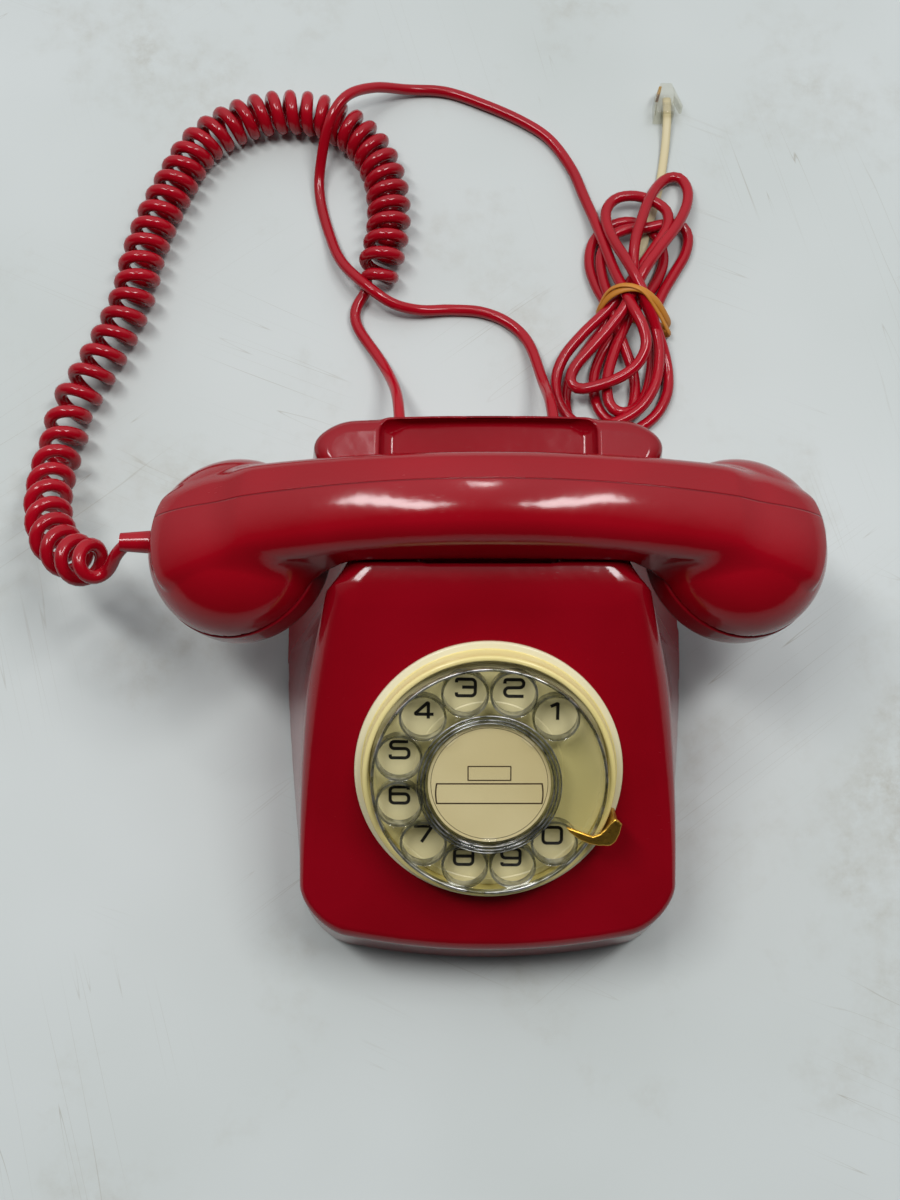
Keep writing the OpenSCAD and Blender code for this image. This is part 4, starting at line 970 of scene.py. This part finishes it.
PRINT_Z = PLATE_Z - 0.25
plate_profile = rounded([
    (15, BOWL_Z), (BOWL_R - 0.3, BOWL_Z), (BOWL_R - 0.3, PLATE_Z), (BOWL_R - 2.2, PLATE_Z), (BOWL_R - 2.6, PRINT_Z),
    (25.2, PRINT_Z), (24.8, PLATE_Z), (15, PLATE_Z)], [0, 0, 0.3, 0.2, 0.2, 0.2, 0.2, 0], steps=3)
dial_part("dial_number_plate", revolve(plate_profile, 128), plate_abs, "telephone", ("number_plate",))

# Digits as strokes in a unit box, squarish with rounded corners. The second list of a digit is its middle bar.
DIGITS = {
    1: [([(0.24, 0.8), (0.62, 1), (0.62, 0)], False)],
    2: [([(0, 0.76), (0, 1), (1, 1), (1, 0.52), (0, 0.5), (0, 0), (1, 0)], False)],
    3: [([(0, 0.8), (0, 1), (1, 1), (1, 0), (0, 0), (0, 0.2)], False), ([(0.3, 0.52), (0.92, 0.52)], False)],
    4: [([(0.74, 0), (0.74, 1), (0, 0.26), (1.02, 0.26)], False)],
    5: [([(0.96, 1), (0.02, 1), (0.02, 0.57), (1, 0.57), (1, 0), (0, 0), (0, 0.2)], False)],
    6: [([(0.98, 0.84), (0.98, 1), (0, 1), (0, 0), (1, 0), (1, 0.57), (0.06, 0.57)], False)],
    7: [([(0, 0.99), (1, 0.99), (0.42, 0)], False)],
    8: [([(0, 0), (1, 0), (1, 1), (0, 1)], True), ([(0.08, 0.53), (0.92, 0.53)], False)],
    9: [([(0.02, 0.16), (0.02, 0), (1, 0), (1, 1), (0, 1), (0, 0.43), (0.94, 0.43)], False)],
    0: [([(0, 0), (1, 0), (1, 1), (0, 1)], True)],
}
DIGIT_W, DIGIT_H, DIGIT_LINE, DIGIT_RISE = 6.2, 5.7, 1.05, 0.14
PRINT_TURN = math.radians(-0.6)
digit_parts = []
for hole_angle, digit in zip(HOLE_ANGLES, (1, 2, 3, 4, 5, 6, 7, 8, 9, 0)):
    angle = hole_angle + PRINT_TURN
    for number, (stroke, is_closed) in enumerate(DIGITS[digit]):
        path = [((a - 0.5) * DIGIT_W, (b - 0.5) * DIGIT_H) for a, b in stroke]
        path = rounded(path, 0.25 if digit in (1, 4, 7) else 1.35, closed=is_closed, steps=6)
        top = PRINT_Z + DIGIT_RISE + 0.01 * number
        part = ribbon(path, DIGIT_LINE, PRINT_Z - 0.05, top, is_closed)
        digit_parts.append(moved(part, HOLE_RING * math.cos(angle), HOLE_RING * math.sin(angle), PRINT_TURN))
dial_part("dial_digits", sharpened(make_mesh(*joined(digit_parts))), ink, "telephone")


def wheel_field(x, y, z):
    """The finger wheel: a thin disc with ten holes, their edges rounded."""
    r = np.hypot(x, y)
    disc = both(r - WHEEL_R, np.abs(z - WHEEL_Z - WHEEL_T / 2) - WHEEL_T / 2, 0.7)
    for angle in HOLE_ANGLES:
        hole = np.hypot(x - HOLE_RING * math.cos(angle), y - HOLE_RING * math.sin(angle)) - HOLE_R
        disc = without(disc, hole, 0.6)
    return disc


wheel_mesh = formed(wheel_field, (-WHEEL_R, -WHEEL_R, WHEEL_Z), (WHEEL_R, WHEEL_R, WHEEL_TOP), 0.48)
dial_part("finger_wheel_disc", wheel_mesh, clear_acrylic, "dial", ("finger_wheel",))


def hole_walls_tree():
    """Tubes set round a circle, one at each finger hole: the walls that hang below the wheel."""
    tree = bpy.data.node_groups.new("hole walls", "GeometryNodeTree")
    face = tree.interface
    for label, value in (("Places", 12), ("Holes", 10), ("Ring radius", HOLE_RING * MM), ("Hole radius", HOLE_R * MM),
                         ("Wall", 0.8 * MM), ("Depth", 4.2 * MM)):
        kind = "NodeSocketInt" if isinstance(value, int) else "NodeSocketFloat"
        face.new_socket(label, in_out="INPUT", socket_type=kind).default_value = value
    face.new_socket("Finish", in_out="INPUT", socket_type="NodeSocketMaterial")
    face.new_socket("Geometry", in_out="OUTPUT", socket_type="NodeSocketGeometry")
    group = add(tree, "NodeGroupInput").outputs
    spots = add(tree, "GeometryNodeMeshCircle", {"Vertices": group["Places"], "Radius": group["Ring radius"]})
    index = add(tree, "GeometryNodeInputIndex")
    spare = add(tree, "FunctionNodeCompare", {2: index, 3: group["Holes"]}, data_type="INT",
                operation="GREATER_EQUAL")
    kept = add(tree, "GeometryNodeDeleteGeometry", {"Geometry": spots, "Selection": spare})
    half = add(tree, "Math", {0: group["Wall"], 1: 0.5}, operation="MULTIPLY")
    radius = add(tree, "Math", {0: group["Hole radius"], 1: half}, operation="ADD")
    round_line = add(tree, "GeometryNodeCurvePrimitiveCircle", {"Resolution": 72, "Radius": radius})
    section = add(tree, "GeometryNodeCurvePrimitiveQuadrilateral", {"Width": group["Wall"], "Height": group["Depth"]})
    tube = add(tree, "GeometryNodeCurveToMesh", {"Curve": round_line, "Profile Curve": section})
    ring = add(tree, "GeometryNodeInstanceOnPoints", {"Points": kept, "Instance": tube})
    solid = add(tree, "GeometryNodeRealizeInstances", {"Geometry": ring})
    finish = add(tree, "GeometryNodeSetMaterial", {"Geometry": solid, "Material": group["Finish"]})
    add(tree, "NodeGroupOutput", {"Geometry": finish})
    return tree


walls_mesh = modified(bpy.data.meshes.new("draft"), "NODES", {"Finish": edge_acrylic_painted_shade},
                      node_group=hole_walls_tree())
walls_mesh.materials.clear()
walls_mesh.transform(Matrix.Translation((0, 0, (WHEEL_Z - 1.9) * MM)) @ Matrix.Rotation(HOLE_ANGLES[0], 4, "Z"))
dial_part("finger_hole_walls", sharpened(shaded(walls_mesh)), edge_acrylic_painted_shade, "dial")

rim_profile = rounded([(38.1, WHEEL_Z - 0.3), (WHEEL_R + 0.03, WHEEL_Z - 0.3), (WHEEL_R + 0.03, WHEEL_TOP + 0.25),
                       (38.1, WHEEL_TOP + 0.25)], 0.3, steps=3)
dial_part("wheel_rim_bead", revolve(rim_profile), edge_acrylic_painted_shade, "dial")

hub_profile = rounded([
    (CARD_R + 0.35, WHEEL_TOP), (HUB_R, WHEEL_TOP), (HUB_R, HUB_TOP - 0.9), (HUB_R - 0.7, HUB_TOP - 0.8),
    (HUB_R - 0.8, HUB_TOP), (HUB_R - 1.5, HUB_TOP), (HUB_R - 1.6, HUB_TOP - 0.5), (CARD_R + 0.35, HUB_TOP - 0.6)],
    [0.1, 0.1, 0.3, 0.15, 0.25, 0.25, 0.2, 0.2], steps=4)
dial_part("hub_ring_moulding", revolve(hub_profile), smoke_acrylic, "dial", ("hub_ring",))

RIB = 0.22
ribs = []
for r, top in ((CARD_R + 0.8, HUB_TOP + 0.2), (HUB_R - 1.1, HUB_TOP + 0.35), (HUB_R + 0.1, HUB_TOP - 0.3)):
    corners = [(r - RIB, HUB_TOP - 0.9), (r + RIB, HUB_TOP - 0.9), (r + RIB, top), (r - RIB, top)]
    ribs.append(revolve(rounded(corners, 0.18, steps=3)))
dial_part("hub_ring_ribs", joined(ribs), edge_acrylic_painted_shade, "dial")

CARD_TOP = WHEEL_TOP + 0.4
card_profile = [(0.01, WHEEL_TOP), (CARD_R - 0.3, WHEEL_TOP), (CARD_R - 0.3, CARD_TOP), (0.01, CARD_TOP)]
dial_part("number_card_disc", sharpened(make_mesh(*revolve(card_profile, 128))), card_paper, "dial",
          ("number_card",))
LINE_SPAN = (CARD_TOP - 0.1, CARD_TOP + 0.02)
small_box = rounded([(-7, -2.4), (7, -2.4), (7, 2.4), (-7, 2.4)], 0.1)
arc = math.asin(3.6 / 19)
wide_box = ([(17.4 * math.cos(t) + 0.2, 18 * math.sin(t)) for t in np.linspace(-arc, arc, 9)]
            + [(-17.4 * math.cos(t) - 0.2, 18 * math.sin(t)) for t in np.linspace(arc, -arc, 9)])
card_ring = [((CARD_R - 1.3) * math.cos(t), (CARD_R - 1.3) * math.sin(t)) for t in np.linspace(0, TAU, 97)[:-1]]
card_lines = [moved(ribbon(small_box, 0.42, *LINE_SPAN, True), 0, 3.6),
              moved(ribbon(wide_box, 0.5, *LINE_SPAN, True), 0, -3.4),
              ribbon(card_ring, 0.18, *LINE_SPAN, True)]
dial_part("card_printed_lines", sharpened(make_mesh(*joined(card_lines))), card_ink, "dial")


def cover_field(x, y, z):
    """The clear cover of the card: a shallow dome with three clips that grip the hub ring."""
    r = np.hypot(x, y)
    dome = both(np.maximum(r - (CARD_R + 0.15), CARD_TOP + 0.05 - z), z - (CARD_TOP + 1.7 - 0.0012 * r ** 2), 0.35)
    for degrees in (50, 130, 270):
        a = math.radians(degrees)
        out, across = x * math.cos(a) + y * math.sin(a), -x * math.sin(a) + y * math.cos(a)
        tab = both(both(np.abs(out - (CARD_R + 0.3)) - 2.0, np.abs(across) - 2.4, 0.5),
                   np.abs(z - HUB_TOP - 0.1) - 0.55, 0.3)
        post = both(both(np.abs(out - (CARD_R - 0.9)) - 0.8, np.abs(across) - 2.4, 0.4),
                    np.abs(z - (CARD_TOP + HUB_TOP) / 2) - 1.2, 0.2)
        dome = either(either(dome, tab, 0.2), post, 0.3)
    return dome


cover_mesh = formed(cover_field, (-HUB_R, -HUB_R, CARD_TOP), (HUB_R, HUB_R, HUB_TOP + 1), 0.42)
dial_part("card_cover_disc", cover_mesh, cover_acrylic, "dial", ("card_cover",))

STOP_ANGLE = math.radians(-28)
STOP_Z = WHEEL_TOP + 1.2
STOP_T = 1.5
LEG_R = BEZEL_R - FLANGE + 0.9
claw_shape = outline_field([
    (29, -0.9), (31, -0.4), (34, 0.1), (38.3, 0.6), (39.9, 2.2), (40.8, 4.6), (41.3, 7.4), (42, 9.4),
    (44.9, 8.6), (45.8, 5.4), (46, 2.2), (45.2, 0.2), (41.9, -1.5), (38.5, -2.3), (35.2, -2.5), (31, -1.9)])


def stop_field(x, y, z):
    """The finger stop: a leg up from the flange and a curved claw over the wheel, bent from one strip."""
    r = np.hypot(x, y)
    lift = 0.9 * np.sin(np.clip((x - (BEZEL_R - 17)) / 15, 0, 1) * math.pi) - 0.5
    claw = both(claw_shape(x, y), np.abs(z - STOP_Z - STOP_T / 2 - lift) - STOP_T / 2, 0.62)
    angle = np.arctan2(y, x)
    leg = both(both(np.abs(r - LEG_R) - STOP_T / 2, (np.abs(angle - 0.1) - 0.1) * LEG_R, 0.3),
               np.maximum(z - STOP_Z - 0.8, BOWL_Z - z), 0.3)
    return either(claw, leg, 0.8)


stop_mesh = formed(stop_field, (BEZEL_R - 19, -4, BOWL_Z), (BEZEL_R + 1, 11, STOP_Z + 3), 0.3)
stop_mesh.transform(Matrix.Rotation(STOP_ANGLE, 4, "Z"))
dial_part("finger_stop_blade", stop_mesh, gold, "telephone", ("finger_stop",))

# ---------------------------------------------------------------- pieces that keep the CAD's shape

NODE_MATERIALS = {
    "base_plate": zinc, "rubber_feet": foot_rubber, "case_screws": zinc, "dial_chassis": zinc,
    "dial_screws": zinc, "dial_shaft": zinc, "main_gear": brass_metal, "return_spring": zinc,
    "pulse_gear": nylon, "pulse_contacts": laminate, "hook_frame": zinc, "hook_plunger_left": nylon,
    "hook_plunger_right": nylon, "hook_bar": zinc, "hook_contacts": brass_metal, "circuit_board": laminate,
    "induction_coil": winding, "capacitor": band_rubber, "terminal_block": nylon, "ringer_bracket": zinc,
    "ringer_coil": winding, "gong_large": gong_metal, "gong_small": gong_metal, "gong_posts": zinc,
    "clapper": brass_metal, "receiver_capsule": zinc, "transmitter_capsule": black_abs,
    "handset_boot": cord_red, "cord_boot_left": boot_red, "cord_boot_right": boot_red,
}
for node_name, node_material in NODE_MATERIALS.items():
    node_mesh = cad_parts[node_name].data
    for index in range(len(node_mesh.materials)):
        node_mesh.materials[index] = node_material

# ---------------------------------------------------------------- camera, floor and light

camera_data = bpy.data.cameras.new("camera")
camera_data.lens = 49.92
camera_data.sensor_width = 36
camera_data.sensor_fit = "AUTO"
camera = bpy.data.objects.new("camera", camera_data)
camera.location = (-0.0129, -0.1435, 0.620)
camera.rotation_euler = (math.radians(90 - 73.5), 0, 0)
bpy.context.scene.collection.objects.link(camera)
bpy.context.scene.camera = camera


def floor_material():
    """Pale painted board: broad mottling, rubbed grey patches and hair-fine scratches."""
    mat, tree = fresh(bpy.data.materials, "Pale painted board")
    place = add(tree, "TexCoord").outputs["Object"]
    cloud = add(tree, "TexNoise", {"Vector": place, "Scale": per(200), "Detail": 3.0})
    cloud = add(tree, "MapRange", {"Value": cloud, "From Min": 0.3, "From Max": 0.7})
    base = add(tree, "Mix", {0: cloud, 6: linear("#C2C7C6"), 7: linear("#B5BBB8")}, data_type="RGBA").outputs[2]
    smudge = 0.8
    for size, detail, rough, low, high in ((111.1, 6.0, 0.65, 0.52, 0.75), (8.333, 4.0, 0.7, 0.35, 0.7)):
        rubbed = add(tree, "TexNoise", {"Vector": place, "Scale": per(size), "Detail": detail, "Roughness": rough})
        rubbed = add(tree, "MapRange", {"Value": rubbed, "From Min": low, "From Max": high})
        smudge = add(tree, "Math", {0: smudge, 1: rubbed}, operation="MULTIPLY")
    base = add(tree, "Mix", {0: smudge, 6: base, 7: linear("#989384")}, data_type="RGBA").outputs[2]
    for turn, where in ((0.4, 0.0), (1.3, 4.0), (2.5, 9.0)):
        turned = add(tree, "Mapping", {"Vector": place, "Rotation": (0, 0, turn), "Location": (where, where, 0)})
        drawn = add(tree, "Mapping", {"Vector": turned, "Scale": (0.09, 4.0, 1.0)})
        line = add(tree, "TexNoise", {"Vector": drawn, "Scale": per(29.41), "Detail": 1.0, "Roughness": 0.4})
        line = add(tree, "Math", {0: line, 1: 0.5}, operation="SUBTRACT")
        line = add(tree, "Math", {0: line}, operation="ABSOLUTE")
        line = add(tree, "MapRange", {"Value": line, "From Max": 0.0035, "To Min": 1.0, "To Max": 0.0})
        some = add(tree, "TexNoise", {"Vector": turned, "Scale": per(142.9), "Detail": 2.0})
        some = add(tree, "MapRange", {"Value": some, "From Min": 0.56, "From Max": 0.66})
        share = add(tree, "Math", {0: line, 1: some}, operation="MULTIPLY")
        share = add(tree, "Math", {0: share, 1: 0.6}, operation="MULTIPLY")
        base = add(tree, "Mix", {0: share, 6: base, 7: linear("#8F8A7C")}, data_type="RGBA").outputs[2]
    shader = add(tree, "BsdfPrincipled", {"Base Color": base, "Roughness": 0.55})
    add(tree, "OutputMaterial", {"Surface": shader})
    return mat


bpy.ops.mesh.primitive_plane_add(size=4.0, location=(0, 0, 0))
floor = bpy.context.object
floor.name = "floor"
floor.data.materials.append(floor_material())


def panel(name, place, target, size, power, spin=0.0):
    """Soft rectangular light that faces its target; size in metres, power in watts, spin in degrees."""
    data = bpy.data.lights.new(name, "AREA")
    data.shape = "RECTANGLE"
    data.size, data.size_y = size
    data.energy = power
    lamp = bpy.data.objects.new(name, data)
    lamp.location = place
    facing = (Vector(target) - Vector(place)).to_track_quat("-Z", "Y").to_matrix()
    lamp.rotation_euler = (facing @ Matrix.Rotation(math.radians(spin), 3, "Z")).to_euler()
    bpy.context.scene.collection.objects.link(lamp)


panel("ceiling strip, left", (-0.52, 0.22, 1.45), (-0.42, 0.2, 0), (0.2, 0.72), 9.5, -32)
panel("ceiling strip, right", (0.52, 0.22, 1.45), (0.42, 0.2, 0), (0.2, 0.72), 9.5, 32)
panel("small ceiling lamp", (-0.01, 0.64, 1.5), (0, 0.1, 0), (0.12, 0.09), 1.0)


def room():
    """Pale room above and behind, dark in front, where the one who looks at the telephone stands."""
    world, tree = fresh(bpy.data.worlds, "pale room")
    place = add(tree, "TexCoord").outputs["Generated"]
    ways = add(tree, "SeparateXYZ", {0: place}).outputs
    rear = add(tree, "MapRange", {"Value": ways["Y"], "From Min": -0.22, "From Max": 0.4})
    up = add(tree, "MapRange", {"Value": ways["Z"], "From Min": -0.1, "From Max": 0.9, "To Min": 0.35})
    strength = add(tree, "Math", {0: rear, 1: up, 2: 0.03}, operation="MULTIPLY_ADD")
    for_camera = add(tree, "LightPath").outputs["Is Camera Ray"]
    strength = add(tree, "Math", {0: strength, 1: for_camera}, operation="MAXIMUM")
    shader = add(tree, "Background", {"Color": (0.93, 0.96, 1.0, 1), "Strength": strength})
    add(tree, "OutputWorld", {"Surface": shader})
    return world


bpy.context.scene.world = room()
